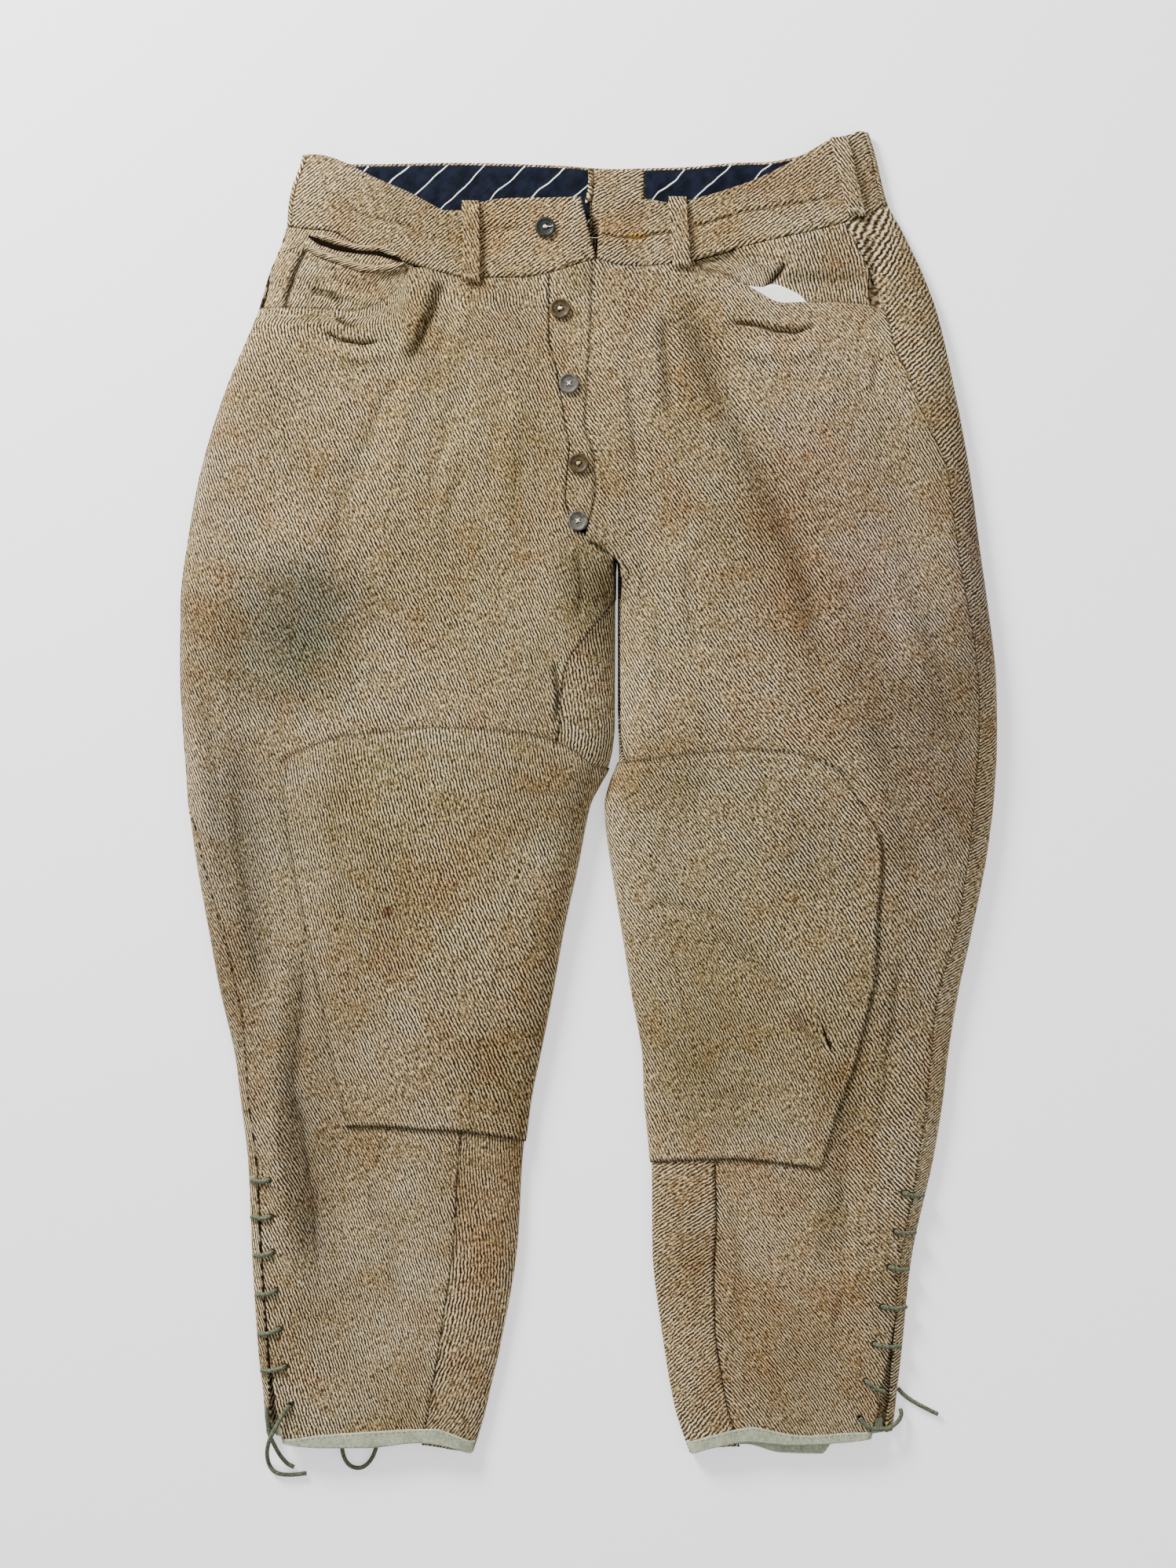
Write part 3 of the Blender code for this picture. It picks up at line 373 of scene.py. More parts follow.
def fold_x(side, edge, down):
    """x of the middle of the cloth at a leg's outer or inner fold."""
    column = {("right", "outer"): 1, ("right", "inner"): 2,
              ("left", "inner"): 3, ("left", "outer"): 4}[side, edge]
    return curve(OUTLINE, down, column) + inward(side, edge) * TWILL / 2


def side_rise(run, inset):
    return np.sqrt(np.maximum(0, 1 - (1 - np.clip(inset / run, 0, 1)) ** 2))


def crotch_share(down):
    return smooth((down - CROTCH_START) / (CROTCH + 8 - CROTCH_START))


def line_distance(line, x, down):
    """Distance from a line of points, and how far along it the nearest place is, 0 to 1."""
    best, along = np.full(np.shape(x), 1e9), np.zeros(np.shape(x))
    for k, ((ax, ad), (bx, bd)) in enumerate(zip(line, line[1:])):
        length = (bx - ax) ** 2 + (bd - ad) ** 2
        t = np.clip(((x - ax) * (bx - ax) + (down - ad) * (bd - ad)) / length, 0, 1)
        gap = np.hypot(x - lerp(ax, bx, t), down - lerp(ad, bd, t))
        nearer = gap < best
        best = np.where(nearer, gap, best)
        along = np.where(nearer, (k + t) / (len(line) - 1), along)
    return best, along


def crease(line, half, depth, x, down, fade_in=0.2, fade_out=0.25, sharp=1.0):
    """A soft trough, or a ridge if its depth is above 0, along a line on the cloth."""
    gap, along = line_distance(line, x, down)
    fade = smooth(along / fade_in) * smooth((1 - along) / fade_out)
    shape = 0.5 * (1 + np.cos(np.pi * np.clip(gap / half, 0, 1)))
    return depth * fade * shape ** sharp


# %% [markdown]
# Worn cloth keeps the creases it was folded and worn in: sharp ones where it was pressed, wide ones
# where it bulges. Noise could fill the surface with creases, but not where the photograph has them, so
# each one has a line here. Only the low ripples between them are drawn by chance, from a fixed seed.

# %% Creases read from the photograph
# half width and height in millimetres, sharpness, then the line in the photograph's pixels
CREASES = {
    "left": (
        (7, -0.9, 1.5, ((847, 398), (851, 470), (855, 547))),
        (9, -0.8, 1, ((873, 713), (879, 780), (888, 843))),
        (7, -0.6, 1, ((833, 769), (839, 840), (844, 898))),
        (15, 1.1, 1, ((1110, 695), (1158, 806), (1196, 958))),
        (5, -1.7, 1.4, ((921, 414), (958, 417), (986, 425), (1013, 427), (1048, 414))),
        (9, 1.0, 1, ((915, 440), (960, 452), (1010, 455), (1060, 440))),
        (5, -0.9, 1.3, ((1117, 452), (1114, 480), (1111, 514))),
        (9, -1.1, 1.2, ((1008, 1283), (1030, 1318), (1054, 1348))),
        (5, -0.8, 1.4, ((826, 1156), (841, 1149), (908, 1164), (931, 1183))),
        (8, -0.7, 1, ((905, 1180), (960, 1225), (1020, 1290))),
        (4, -0.8, 1.5, ((1004, 640), (1040, 700), (1056, 770), (1075, 850))),
        (12, 0.9, 1, ((940, 470), (975, 560), (1040, 690), (1075, 850))),
        (6, -0.7, 1, ((1068, 1480), (1078, 1560), (1072, 1650), (1060, 1720))),
        (8, -0.6, 1, ((930, 1520), (945, 1610), (940, 1700))),
        (6, -0.9, 1.3, ((1145, 1215), (1138, 1290), (1128, 1370), (1120, 1450))),
        (7, -0.5, 1, ((880, 1390), (950, 1400), (1020, 1385))),
        (4.5, -1.4, 1.6, ((1102, 300), (1110, 340), (1112, 380), (1120, 410))),
        (8, 1.1, 1, ((788, 700), (800, 760), (800, 850), (796, 930))),
        (6, -0.7, 1.2, ((800, 480), (806, 540), (812, 620))),
    ),
    "right": (
        (5, -1.3, 1.4, ((395, 373), (420, 380), (446, 394))),
        (3.5, -1.2, 1.3, ((428, 408), (444, 418), (458, 422))),
        (4, -1.7, 1.5, ((413, 424), (436, 437), (461, 441), (491, 439))),
        (6, 0.9, 1, ((405, 440), (436, 455), (470, 458), (505, 452))),
        (6, -0.8, 1.1, ((560, 345), (562, 373), (552, 403), (535, 444), (515, 478))),
        (9, 0.8, 1, ((548, 350), (546, 380), (536, 405), (520, 440), (504, 470))),
        (10, 0.8, 1, ((590, 360), (592, 400), (580, 440), (560, 500))),
        (7, -0.7, 1.1, ((512, 480), (498, 500), (478, 540), (462, 590))),
        (9, 0.7, 1, ((540, 470), (520, 520), (505, 580), (498, 650))),
        (8, -0.6, 1, ((600, 470), (570, 540), (552, 620), (548, 700))),
        (6, 0.8, 1, ((408, 372), (432, 372), (458, 384), (474, 398))),
        (14, -1.7, 1, ((388, 1180), (384, 1280), (372, 1385), (384, 1440), (398, 1520),
                       (402, 1600), (412, 1680))),
        (8, 1.0, 1, ((345, 1400), (355, 1480), (368, 1560))),
        (7, -0.8, 1, ((590, 590), (572, 660), (560, 740))),
        (10, -0.7, 1, ((480, 540), (440, 640), (415, 760))),
        (9, -0.8, 1, ((300, 1000), (310, 1100), (330, 1220), (350, 1330))),
        (12, 0.7, 1, ((660, 470), (650, 560), (640, 660), (660, 760))),
        (6, -0.6, 1, ((655, 1060), (646, 1130), (632, 1210))),
        (7, -0.6, 1, ((420, 1000), (440, 1100), (448, 1210))),
        (5, -0.9, 1.3, ((735, 700), (742, 750), (736, 800))),
        (4, -1.3, 1.4, ((706, 845), (712, 880), (708, 930))),
        (9, -0.6, 1, ((470, 1500), (500, 1590), (520, 1700))),
        (10, -1.0, 1, ((262, 860), (272, 960), (284, 1080), (296, 1180))),
        (5, -0.8, 1.3, ((617, 290), (640, 296), (668, 291))),
        (4, -0.7, 1.3, ((430, 262), (470, 280), (520, 292), (566, 322))),
    ),
}
SHARED_CREASES = (
    (5, -1.2, 1.2, ((756, 690), (776, 712), (786, 740), (778, 775), (764, 800))),
    (6, 0.8, 1, ((800, 700), (812, 735), (806, 790))),
)
RIPPLE_SEED, RIPPLES, RIPPLE_HEIGHT = 11, 14, 0.42
RIPPLE_LENGTHS = (38, 150)
# The photograph's soft light hides some of a crease's depth, so each is drawn deeper by these factors
DEEPER, FOLD_DEEPER = 2.4, 1.6
SOFT_FOLDS = {"right_tuck": 0.7}  # but this fold is softer than its solid


def ripples(x, down):
    """Low uneven waves, as cloth has that has been worn and laid by hand."""
    draw = np.random.default_rng(RIPPLE_SEED)
    total = 0
    for _ in range(RIPPLES):
        wave = draw.uniform(*RIPPLE_LENGTHS)
        turn, phase = draw.uniform(0, np.pi), draw.uniform(0, 2 * np.pi)
        total = total + wave / 260 * np.sin(
            2 * np.pi * (x * np.cos(turn) + down * np.sin(turn) * 0.55) / wave + phase)
    return RIPPLE_HEIGHT * total


def relief(side, x, down):
    """Heights of the fine creases on the upper layer."""
    total = ripples(x, down)
    for half, depth, sharp, line in CREASES[side] + SHARED_CREASES:
        total = total + DEEPER * crease(on_cloth(line), half, depth, x, down, sharp=sharp)
    return total


# %% Height of the upper layer
SURFACE = {"creased": True}  # set to False while a piece's UV map is measured on the smooth surface
FLY_LIFT_FOOT = (320, 25)  # where the left front's lift over the fly stand ends


def fold_relief(side, x, down):
    """Heights of the large folds on the upper layer."""
    total = 0
    for name, (half, depth, line) in FOLDS.items():
        if name.startswith(side):
            total = total + SOFT_FOLDS.get(name, FOLD_DEEPER) * crease(line, half, depth, x, down)
    return total


def top_height(side, x, down):
    """Height of the middle of the upper layer, smoothed out while SURFACE says not creased."""
    base = TWILL / 2 + CORNER
    outer = side_rise(SIDE_RUN["outer"], (x - fold_x(side, "outer", down)) * inward(side, "outer"))
    inner = side_rise(SIDE_RUN["inner"], (x - fold_x(side, "inner", down)) * inward(side, "inner"))
    share = crotch_share(down)
    height = curve(CROWN, down) - base
    if SURFACE["creased"]:
        height = height + relief(side, x, down) + fold_relief(side, x, down)
    rise = outer * (1 - share * (1 - inner))
    lift = 0
    if side == "left":
        start, end = FLY_LIFT_RUN
        foot, fade = FLY_LIFT_FOOT
        lift = FLY_LIFT * (1 - smooth((x - start) / (end - start))) * (1 - smooth((down - foot) / fade))
    return base + height * rise + lift


def section(side, edge, turn, down, thick=TWILL):
    """x and height round one fold: turn -1 to 0 is the corner on the table, 0 to 1 the side, and
    beyond them it runs on along the table or along the crown."""
    x, way, run = fold_x(side, edge, down), inward(side, edge), SIDE_RUN[edge]
    inset = run * (1 - np.cos(np.clip(turn, 0, 1) * np.pi / 2)) + np.maximum(turn - 1, 0) * run
    angle = np.clip(-turn, 0, 1) * np.pi / 2
    drop = CORNER + (TWILL - thick) / 2
    low_x = x + way * (CORNER * (1 - np.cos(angle)) + np.maximum(-turn - 1, 0) * FLOOR_RUN)
    low_z = thick / 2 + drop * (1 - np.sin(angle))
    high_x = x + way * inset
    return np.where(turn > 0, high_x, low_x), np.where(turn > 0, top_height(side, high_x, down), low_z)


def turn_at(edge, inset):
    """The turn of a place that lies this far in from the fold, on the upper side."""
    run = SIDE_RUN[edge]
    near = np.arccos(np.clip(1 - inset / run, -1, 1)) / (np.pi / 2)
    return np.where(inset < run, near, 1 + (inset - run) / run)


print("creases", {side: len(lines) for side, lines in CREASES.items()})

# %% [markdown]
# Each piece of cloth starts as a flat grid, as cloth does on the cutting table. Every point of the
# grid is then moved to its place on the section, and a Solidify modifier gives the cloth its
# thickness. The grid also carries a UV map in millimetres, turned so that the twill's wales run
# along V, which is how a weave keeps following the cloth round a fold. A colour attribute holds
# the stains and the faded places, and the painted shade and highlights of creases, edges and
# recesses. A simulation would drape it too, but not into these creases.

# %% Stains and painted shade
# The photograph's pixel, half width and half height in pixels, tint, strength
# Most are stains and faded places; the dark ones at the crotch and along the legs' outer edges are
# painted shade.
STAINS_AND_SHADE = (
    (385, 770, 75, 62, "#5E5948", 0.85), (350, 850, 60, 55, "#6D6853", 0.7),
    (415, 850, 50, 50, "#7D7A5C", 0.6), (262, 760, 45, 190, "#85755C", 0.6),
    (600, 560, 150, 240, "#93825C", 0.5), (460, 420, 120, 60, "#998764", 0.45),
    (300, 1150, 50, 260, "#83755F", 0.6), (330, 1050, 60, 120, "#8D8169", 0.5),
    (392, 1470, 36, 150, "#7D705C", 0.5), (405, 1610, 34, 100, "#877963", 0.4),
    (520, 1600, 110, 200, "#AE9C7E", 0.5), (640, 1650, 60, 180, "#A08566", 0.35),
    (495, 1160, 7, 6, "#5A2A14", 1.7), (560, 1100, 160, 160, "#A39573", 0.45),
    (640, 1360, 60, 60, "#8C7A56", 0.5), (640, 978, 3.5, 3, "#3A322A", 1.6),
    (1040, 690, 90, 200, "#957F6C", 0.5), (1130, 820, 60, 170, "#87766A", 0.55),
    (1000, 700, 40, 120, "#94764F", 0.5), (1195, 960, 40, 170, "#7D6D5C", 0.75),
    (1242, 720, 30, 160, "#85776C", 0.7), (1105, 920, 60, 90, "#8D7F60", 0.5),
    (940, 640, 50, 110, "#80704F", 0.55), (880, 470, 40, 90, "#897654", 0.5),
    (790, 500, 60, 140, "#A59272", 0.4), (860, 800, 60, 120, "#A3926F", 0.3),
    (762, 775, 42, 76, "#766A4E", 0.7), (748, 730, 36, 56, "#776B4E", 0.65),
    (960, 1100, 140, 120, "#948465", 0.45), (1040, 1080, 60, 60, "#867A64", 0.6),
    (900, 1320, 120, 130, "#8B7C5A", 0.5), (1090, 1330, 50, 130, "#7F704F", 0.6),
    (1150, 1180, 40, 150, "#83735D", 0.55), (920, 1640, 140, 170, "#A98F6D", 0.45),
    (1090, 1640, 50, 170, "#A18867", 0.4), (1050, 1530, 60, 60, "#8B7B58", 0.4),
    (660, 300, 60, 50, "#A5855E", 0.45), (790, 290, 40, 30, "#8F6F47", 0.55),
    (1000, 240, 60, 30, "#83694A", 0.5), (930, 300, 70, 30, "#B7A480", 0.4),
    (1060, 340, 40, 40, "#7B6545", 0.5), (560, 280, 150, 40, "#8C7A57", 0.55),
    (811, 304, 14, 3, "#B08B2E", 0.8), (470, 1010, 60, 70, "#90865F", 0.4),
    (690, 1030, 60, 60, "#85775A", 0.55), (850, 1010, 60, 50, "#8C7E5F", 0.45),
    (950, 980, 120, 30, "#93866A", 0.45), (560, 960, 150, 25, "#94876A", 0.45),
    (545, 430, 26, 60, "#6F5C43", 0.55), (640, 430, 40, 70, "#85715A", 0.45),
    (300, 560, 46, 100, "#8B7A60", 0.45), (1150, 420, 40, 70, "#A89776", 0.4),
    (700, 900, 50, 60, "#8A7B5C", 0.5), (950, 1230, 130, 170, "#94825C", 0.4),
    (620, 800, 90, 90, "#9A8A66", 0.35),
)


def linear(hex_colour):
    """An sRGB hex colour as linear red, green and blue."""
    channels = [int(hex_colour[k:k + 2], 16) / 255 for k in (1, 3, 5)]
    return [c / 12.92 if c <= 0.04045 else ((c + 0.055) / 1.055) ** 2.4 for c in channels]


MEAN_COLOUR = "#A19073"
SHADED_CREASE_DEPTH = -1.15  # a crease deeper than this gets a painted line of shade along its bottom
CREASE_LINE_MOST, CREASE_LINE_PER_DEPTH, CREASE_LINE_WIDTH = 0.62, 0.33, 1.7
# Painted shade darkens the cloth in its troughs and painted highlight pales it on its ridges, by these
# shares for each millimetre
TROUGH_SHADE, RIDGE_LIGHT = 0.2, 0.06
FOLD_SHADE, FOLD_LIGHT = 0.07, 0.02
SHADE_WIDTH = 0.6  # of the crease's half width


def crease_shade_tint(gap, along, half, depth, shade, light, ends=(0.15, 0.3)):
    """The tint near a crease: painted shade below 1 in a trough, and painted highlight a little above 1
    on a ridge.
    """
    fade = smooth(along / ends[0]) * smooth((1 - along) / ends[1])
    soft = depth * fade * np.exp(-(gap / (SHADE_WIDTH * half)) ** 2)
    return (1 + np.where(soft < 0, shade, light) * soft)[:, None]


def crease_shade_line(gap, along, depth):
    """The tint of the painted shade along the bottom of a deep crease."""
    fade = smooth(along / 0.15) * smooth((1 - along) / 0.3)
    darkness = min(CREASE_LINE_MOST, -CREASE_LINE_PER_DEPTH * depth) * fade * np.exp(-(gap / CREASE_LINE_WIDTH) ** 2)
    return (1 - darkness)[:, None]


def stain_and_shade_tint(x, down):
    """The tint of each place, as a colour that the weave is multiplied by: stains, and painted shade and
    highlight on the creases.
    """
    tint = np.ones((len(x), 3))
    mean = np.array(linear(MEAN_COLOUR))
    for centre_x, centre_y, half_x, half_y, colour, strength in STAINS_AND_SHADE:
        (at_x, at_down), = on_cloth([(centre_x, centre_y)])
        far = np.hypot((x - at_x) / (half_x * PIXEL), (down - at_down) / (half_y * PIXEL))
        share = np.minimum(strength * smooth(1.3 - 0.8 * far), 1)[:, None]
        tint *= lerp(1, np.array(linear(colour)) / mean, share)
    for lines in CREASES.values():
        for half, depth, _, line in lines:
            gap, along = line_distance(on_cloth(line), x, down)
            tint *= crease_shade_tint(gap, along, half, depth, TROUGH_SHADE, RIDGE_LIGHT)
            if depth < SHADED_CREASE_DEPTH:
                tint *= crease_shade_line(gap, along, depth)
    for name, (half, depth, line) in FOLDS.items():
        gap, along = line_distance(line, x, down)
        tint *= crease_shade_tint(gap, along, half, depth * SOFT_FOLDS.get(name, 1), FOLD_SHADE, FOLD_LIGHT,
                     ends=(0.2, 0.25))
    return np.clip(tint, 0.1, 1.3)


# %% Normals, edges and columns of a grid
def grid_normals(points, flip):
    """The way out of a grid of points, rows by columns."""
    across, along = np.gradient(points, axis=1), np.gradient(points, axis=0)
    out = np.cross(along, across)
    out /= np.linalg.norm(out, axis=2, keepdims=True) + 1e-12
    return -out if flip else out


# Every edge of a piece is darkened: partly seam dirt, partly painted shade where the next piece meets it.
SEAM_DIRT_AND_SHADE, EDGE_DARK_REACH = 0.5, 1.1


def edge_dip(points, dips):
    """How far each point sinks near the grid's edges, given (depth, reach) for each named edge, and
    the strength of its darkening where that differs; how much seam dirt and painted shade darken
    it there; and its distance along its row."""
    step_x = np.linalg.norm(np.diff(points, axis=1), axis=2)
    step_y = np.linalg.norm(np.diff(points, axis=0), axis=2)
    from_start = np.hstack([np.zeros((len(points), 1)), np.cumsum(step_x, axis=1)])
    from_top = np.vstack([np.zeros((1, points.shape[1])), np.cumsum(step_y, axis=0)])
    far = {"start": from_start, "end": from_start[:, -1:] - from_start,
           "top": from_top, "foot": from_top[-1:] - from_top}
    total, darkness = 0, 1
    for edge, (depth, reach, *own_darkness) in dips.items():
        total = total + depth * np.clip(1 - far[edge] / reach, 0, 1) ** 2
        dimming = own_darkness[0] if own_darkness else SEAM_DIRT_AND_SHADE
        darkness = darkness * (1 - dimming * np.exp(-(far[edge] / EDGE_DARK_REACH) ** 2))
    return total, darkness, from_start


def bunch(t, amount):
    """Moves the columns of a grid closer to both of its edges."""
    return t - amount * np.sin(2 * np.pi * t) / (2 * np.pi)


# %% Grid, UV map and stains of a piece of cloth
BIAS_WAVE = 0.03  # how far the wales wander, from cloth being handled


def grid_places(work, columns, rows):
    """The row and the column of each vertex of a flat grid."""
    work.verts.index_update()
    spots = np.array([vertex.co[:2] for vertex in work.verts])
    column = np.rint((spots[:, 0] + 0.5) * columns).astype(int)
    row = np.rint((0.5 - spots[:, 1]) * rows).astype(int)
    return row, column


def uncreased_lengths(place, across, along):
    """How far each point lies along its row, with the fine creases smoothed out."""
    SURFACE["creased"] = False
    spots = [np.broadcast_to(v, across.shape).astype(float) for v in place(across, along)]
    SURFACE["creased"] = True
    return edge_dip(np.stack(spots, axis=2), {})[2]


def cut_map(x, down, from_start, grain, flip):
    """U and V of each point in millimetres, turned so that the wales run along V."""
    middle = (x.shape[1] - 1) // 2
    direction = -1 if flip else 1
    u = x[:, middle:middle + 1] + direction * (from_start - from_start[:, middle:middle + 1])
    bend = BIAS_WAVE * np.sin(down / 61 + x / 90) + BIAS_WAVE * np.sin(down / 137 - x / 45)
    turn = np.radians(grain) + bend * 0.3
    return np.stack([u * np.cos(turn) + down * np.sin(turn),
                     -u * np.sin(turn) + down * np.cos(turn)], axis=2)


def dress(work, row, column, points, uv, tint):
    """Moves a grid's vertices to their places, and gives its faces their UV map and their stains and
    painted shade.
    """
    for vertex, a, b in zip(work.verts, row, column):
        vertex.co = points[a, b] * MM
    layer = work.loops.layers.uv.new("cut")
    tone = work.loops.layers.float_color.new("stain_and_shade")
    for face in work.faces:
        for loop in face.loops:
            a, b = row[loop.vert.index], column[loop.vert.index]
            loop[layer].uv = uv[a, b]
            loop[tone] = (*tint[a, b], 1)


def add_piece(name, work, material, nodes=()):
    """Turns a bmesh into a finished piece on the frame."""
    mesh = bpy.data.meshes.new(name)
    work.to_mesh(mesh)
    work.free()
    mesh.polygons.foreach_set("use_smooth", [True] * len(mesh.polygons))
    piece = bpy.data.objects.new(name, mesh)
    piece.data.materials.append(material)
    bpy.context.scene.collection.objects.link(piece)
    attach(piece, "root")
    if nodes:
        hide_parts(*nodes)
    return piece


def declare(piece, points, from_start, area):
    """Says how large the flat cut of a piece is, measured along its rows and columns."""
    wide = float(np.max(from_start[:, -1])) * MM
    long = float(np.max(np.sum(np.linalg.norm(np.diff(points, axis=0), axis=2), axis=0))) * MM
    long = max(long, float(area / wide)) * 1.003  # the cut is a little over its measured area
    print(piece.name, "cut", round(wide * 1000), "x", round(long * 1000), "mm")


# %% A piece of cloth
def cloth(name, place, columns, rows, thick, material, grain=0.0, lift=0.0, flip=False, dips=None,
          bunched=0.5, nodes=(), shaded_and_stained=True, shade=None,
          declared=True):
    """A piece of cloth on place(across, along), which gives x, down and height in millimetres.
    grain is the angle of the twill's wales from straight down, in degrees, above 0 where they run
    down to the left. shade(x, down) darkens the places that lie deep under another piece."""
    work = bmesh.new()
    bmesh.ops.create_grid(work, x_segments=columns, y_segments=rows, size=0.5)
    row, column = grid_places(work, columns, rows)
    across, along = np.meshgrid(bunch(np.linspace(0, 1, columns + 1), bunched),
                                np.linspace(0, 1, rows + 1))
    x, down, height = (np.broadcast_to(v, across.shape) for v in place(across, along))
    points = np.stack([x, TOP_Y - down, height], axis=2).astype(float)
    sink, darkness, _ = edge_dip(points, dips or {})
    raised = np.broadcast_to(lift - sink, x.shape)[..., None]
    points = points + grid_normals(points, flip) * raised
    from_start = uncreased_lengths(place, across, along)
    tint = np.ones((*x.shape, 3))
    if shaded_and_stained:
        tint = stain_and_shade_tint(x.ravel(), down.ravel()).reshape(tint.shape)
    # The tint: stains and painted shade of creases, seam dirt and painted shade at the edges, and the
    # painted shade of shade().
    tint = tint * np.broadcast_to(darkness * (shade(x, down) if shade else 1), x.shape)[..., None]
    dress(work, row, column, points, cut_map(x, down, from_start, grain, flip), tint)
    area = sum(face.calc_area() for face in work.faces)
    if flip:
        bmesh.ops.reverse_faces(work, faces=work.faces[:])
    piece = add_piece(name, work, material, nodes)
    wall = piece.modifiers.new("Thickness", "SOLIDIFY")
    wall.thickness = thick * MM
    wall.offset = 0
    if declared:
        declare(piece, points, from_start, area)
    return piece


# %% [markdown]
# The cloth is a wool twill of marled yarns, each twisted from light and dark fibres. From a step away
# it shows fine slanting wales, broken into beads where the light yarn comes up, under patches where
# the nap has rubbed soft and patches that have turned reddish, greenish or grey. The weave could be
# modelled thread by thread, but that would be some hundred thousands of crossings, so a sine draws it
# across the wales and by stretched noise along them, and the same values lift the surface as bump.

# %% Shader helpers
WALE, WANDER = 2.2, 2.4  # mm between wales, and how far one strays
BEAD_WIDE, BEAD_LONG = 1.15, 2.7  # mm, of the pale yarn where it comes up
FLECK = 0.75
BEAD_SHARE, FLECK_SHARE, CLUMP_SHARE = 0.9, 0.6, 0.38
YARNS = ((0.24, "#1E160D"), (0.38, "#493A27"), (0.5, "#7A6849"), (0.62, "#AA9873"),
         (0.76, "#D6C8A5"))
TURNED = ((0.34, "#EBD3C0"), (0.46, "#F8F2E8"), (0.56, "#FFFFFF"), (0.68, "#E2E2D2"))
SOIL = ((0.36, "#DDD5C6"), (0.56, "#FFFFFF"))


def node(tree, kind, inputs=(), **settings):
    """Adds a shader node, sets its properties, and sets or links its inputs."""
    made = tree.nodes.new(kind)
    for key, value in settings.items():
        setattr(made, key, value)
    for key, value in dict(inputs).items():
        if isinstance(value, bpy.types.NodeSocket):
            tree.links.new(value, made.inputs[key])
        else:
            made.inputs[key].default_value = value
    return made


def new_material(name, **sockets):
    """A Principled material, its constants set on the shader's own sockets."""
    material = bpy.data.materials.new(name)
    material.use_nodes = True
    shader = material.node_tree.nodes["Principled BSDF"]
    for key, value in sockets.items():
        shader.inputs[key.replace("_", " ")].default_value = value
    return material, material.node_tree, shader


def ramp(tree, factor, stops):
    """A colour ramp of (place, sRGB hex) stops."""
    made = node(tree, "ShaderNodeValToRGB", {"Fac": factor})
    while len(made.color_ramp.elements) < len(stops):
        made.color_ramp.elements.new(0.5)
    for element, (place, colour) in zip(made.color_ramp.elements, stops):
        element.position = place
        element.color = (*linear(colour), 1)
    return made.outputs["Color"]


def math_node(tree, operation, *values):
    return node(tree, "ShaderNodeMath", dict(enumerate(values)), operation=operation).outputs[0]


def noise(tree, vector, scale, detail=2.0, roughness=0.5):
    return node(tree, "ShaderNodeTexNoise", {"Vector": vector, "Scale": scale, "Detail": detail,
                                             "Roughness": roughness}).outputs["Fac"]


def stretched(tree, vector, wide, long):
    """The vector in units of a yarn's width and length."""
    return node(tree, "ShaderNodeMapping", {"Vector": vector, "Scale": (1 / wide, 1 / long, 1)},
                ).outputs["Vector"]


def multiply(tree, a, b, factor=1.0):
    made = node(tree, "ShaderNodeMix", {0: factor, 6: a, 7: b}, data_type="RGBA", blend_type="MULTIPLY")
    return made.outputs[2]


def bump(tree, shader, height, strength, distance_mm):
    made = node(tree, "ShaderNodeBump", {"Height": height, "Strength": strength,
                                         "Distance": distance_mm * MM})
    tree.links.new(made.outputs["Normal"], shader.inputs["Normal"])


# %% [markdown]
# The wales are a sine wave across U, crisp where the nap still stands and soft where it has rubbed off.
# Beads, flecks and clumps of pale yarn break them up. One ramp gives the yarns' browns and creams, and
# wide soft noise turns them redder or greyer, as dye and sun do.

# %% Marled wool twill
def wool_twill():
    material, tree, shader = new_material(
        "marled_wool_twill", Roughness=0.95, Specular_IOR_Level=0.12, Sheen_Weight=0.04,
        Sheen_Roughness=0.5)
    cut = node(tree, "ShaderNodeUVMap", uv_map="cut").outputs["UV"]
    place = node(tree, "ShaderNodeTexCoord").outputs["Object"]
    u = node(tree, "ShaderNodeSeparateXYZ", {"Vector": cut}).outputs["X"]
    wander = math_node(tree, "MULTIPLY", noise(tree, cut, 0.16, 2), WANDER)
    phase = math_node(tree, "MULTIPLY", math_node(tree, "ADD", u, wander), 2 * math.pi / WALE)
    wale = math_node(tree, "SINE", phase)
    bead = noise(tree, stretched(tree, cut, BEAD_WIDE, BEAD_LONG), 1.0, 1.0)
    fleck = noise(tree, stretched(tree, cut, FLECK, FLECK * 1.4), 1.0, 1.0)
    crisp = node(tree, "ShaderNodeMapRange", {"Value": noise(tree, place, 42.0, 3, 0.6),
                                              "From Min": 0.38, "From Max": 0.6,
                                              "To Min": 0.12, "To Max": 0.3}).outputs[0]
    yarn = math_node(tree, "MULTIPLY", wale, crisp)
    yarn = math_node(tree, "ADD", yarn, math_node(tree, "MULTIPLY", bead, BEAD_SHARE))
    yarn = math_node(tree, "ADD", yarn, math_node(tree, "MULTIPLY", fleck, FLECK_SHARE))
    clump = noise(tree, stretched(tree, cut, 2.2, 7.0), 1.0, 2)
    yarn = math_node(tree, "ADD", yarn, math_node(tree, "MULTIPLY", clump, CLUMP_SHARE))
    level = math_node(tree, "SUBTRACT", yarn, 0.44)
    weave = ramp(tree, level, YARNS)
    tone = noise(tree, place, 26.0, 4, 0.65)
    turned = ramp(tree, tone, TURNED)
    dimming = ramp(tree, noise(tree, place, 9.0, 5, 0.6), SOIL)
    stain_and_shade = node(tree, "ShaderNodeAttribute", attribute_name="stain_and_shade").outputs["Color"]
    colour = multiply(tree, multiply(tree, weave, turned, 0.65), multiply(tree, dimming, stain_and_shade), 1.0)
    tree.links.new(colour, shader.inputs["Base Color"])
    bump(tree, shader, level, 0.55, 0.7)
    return material


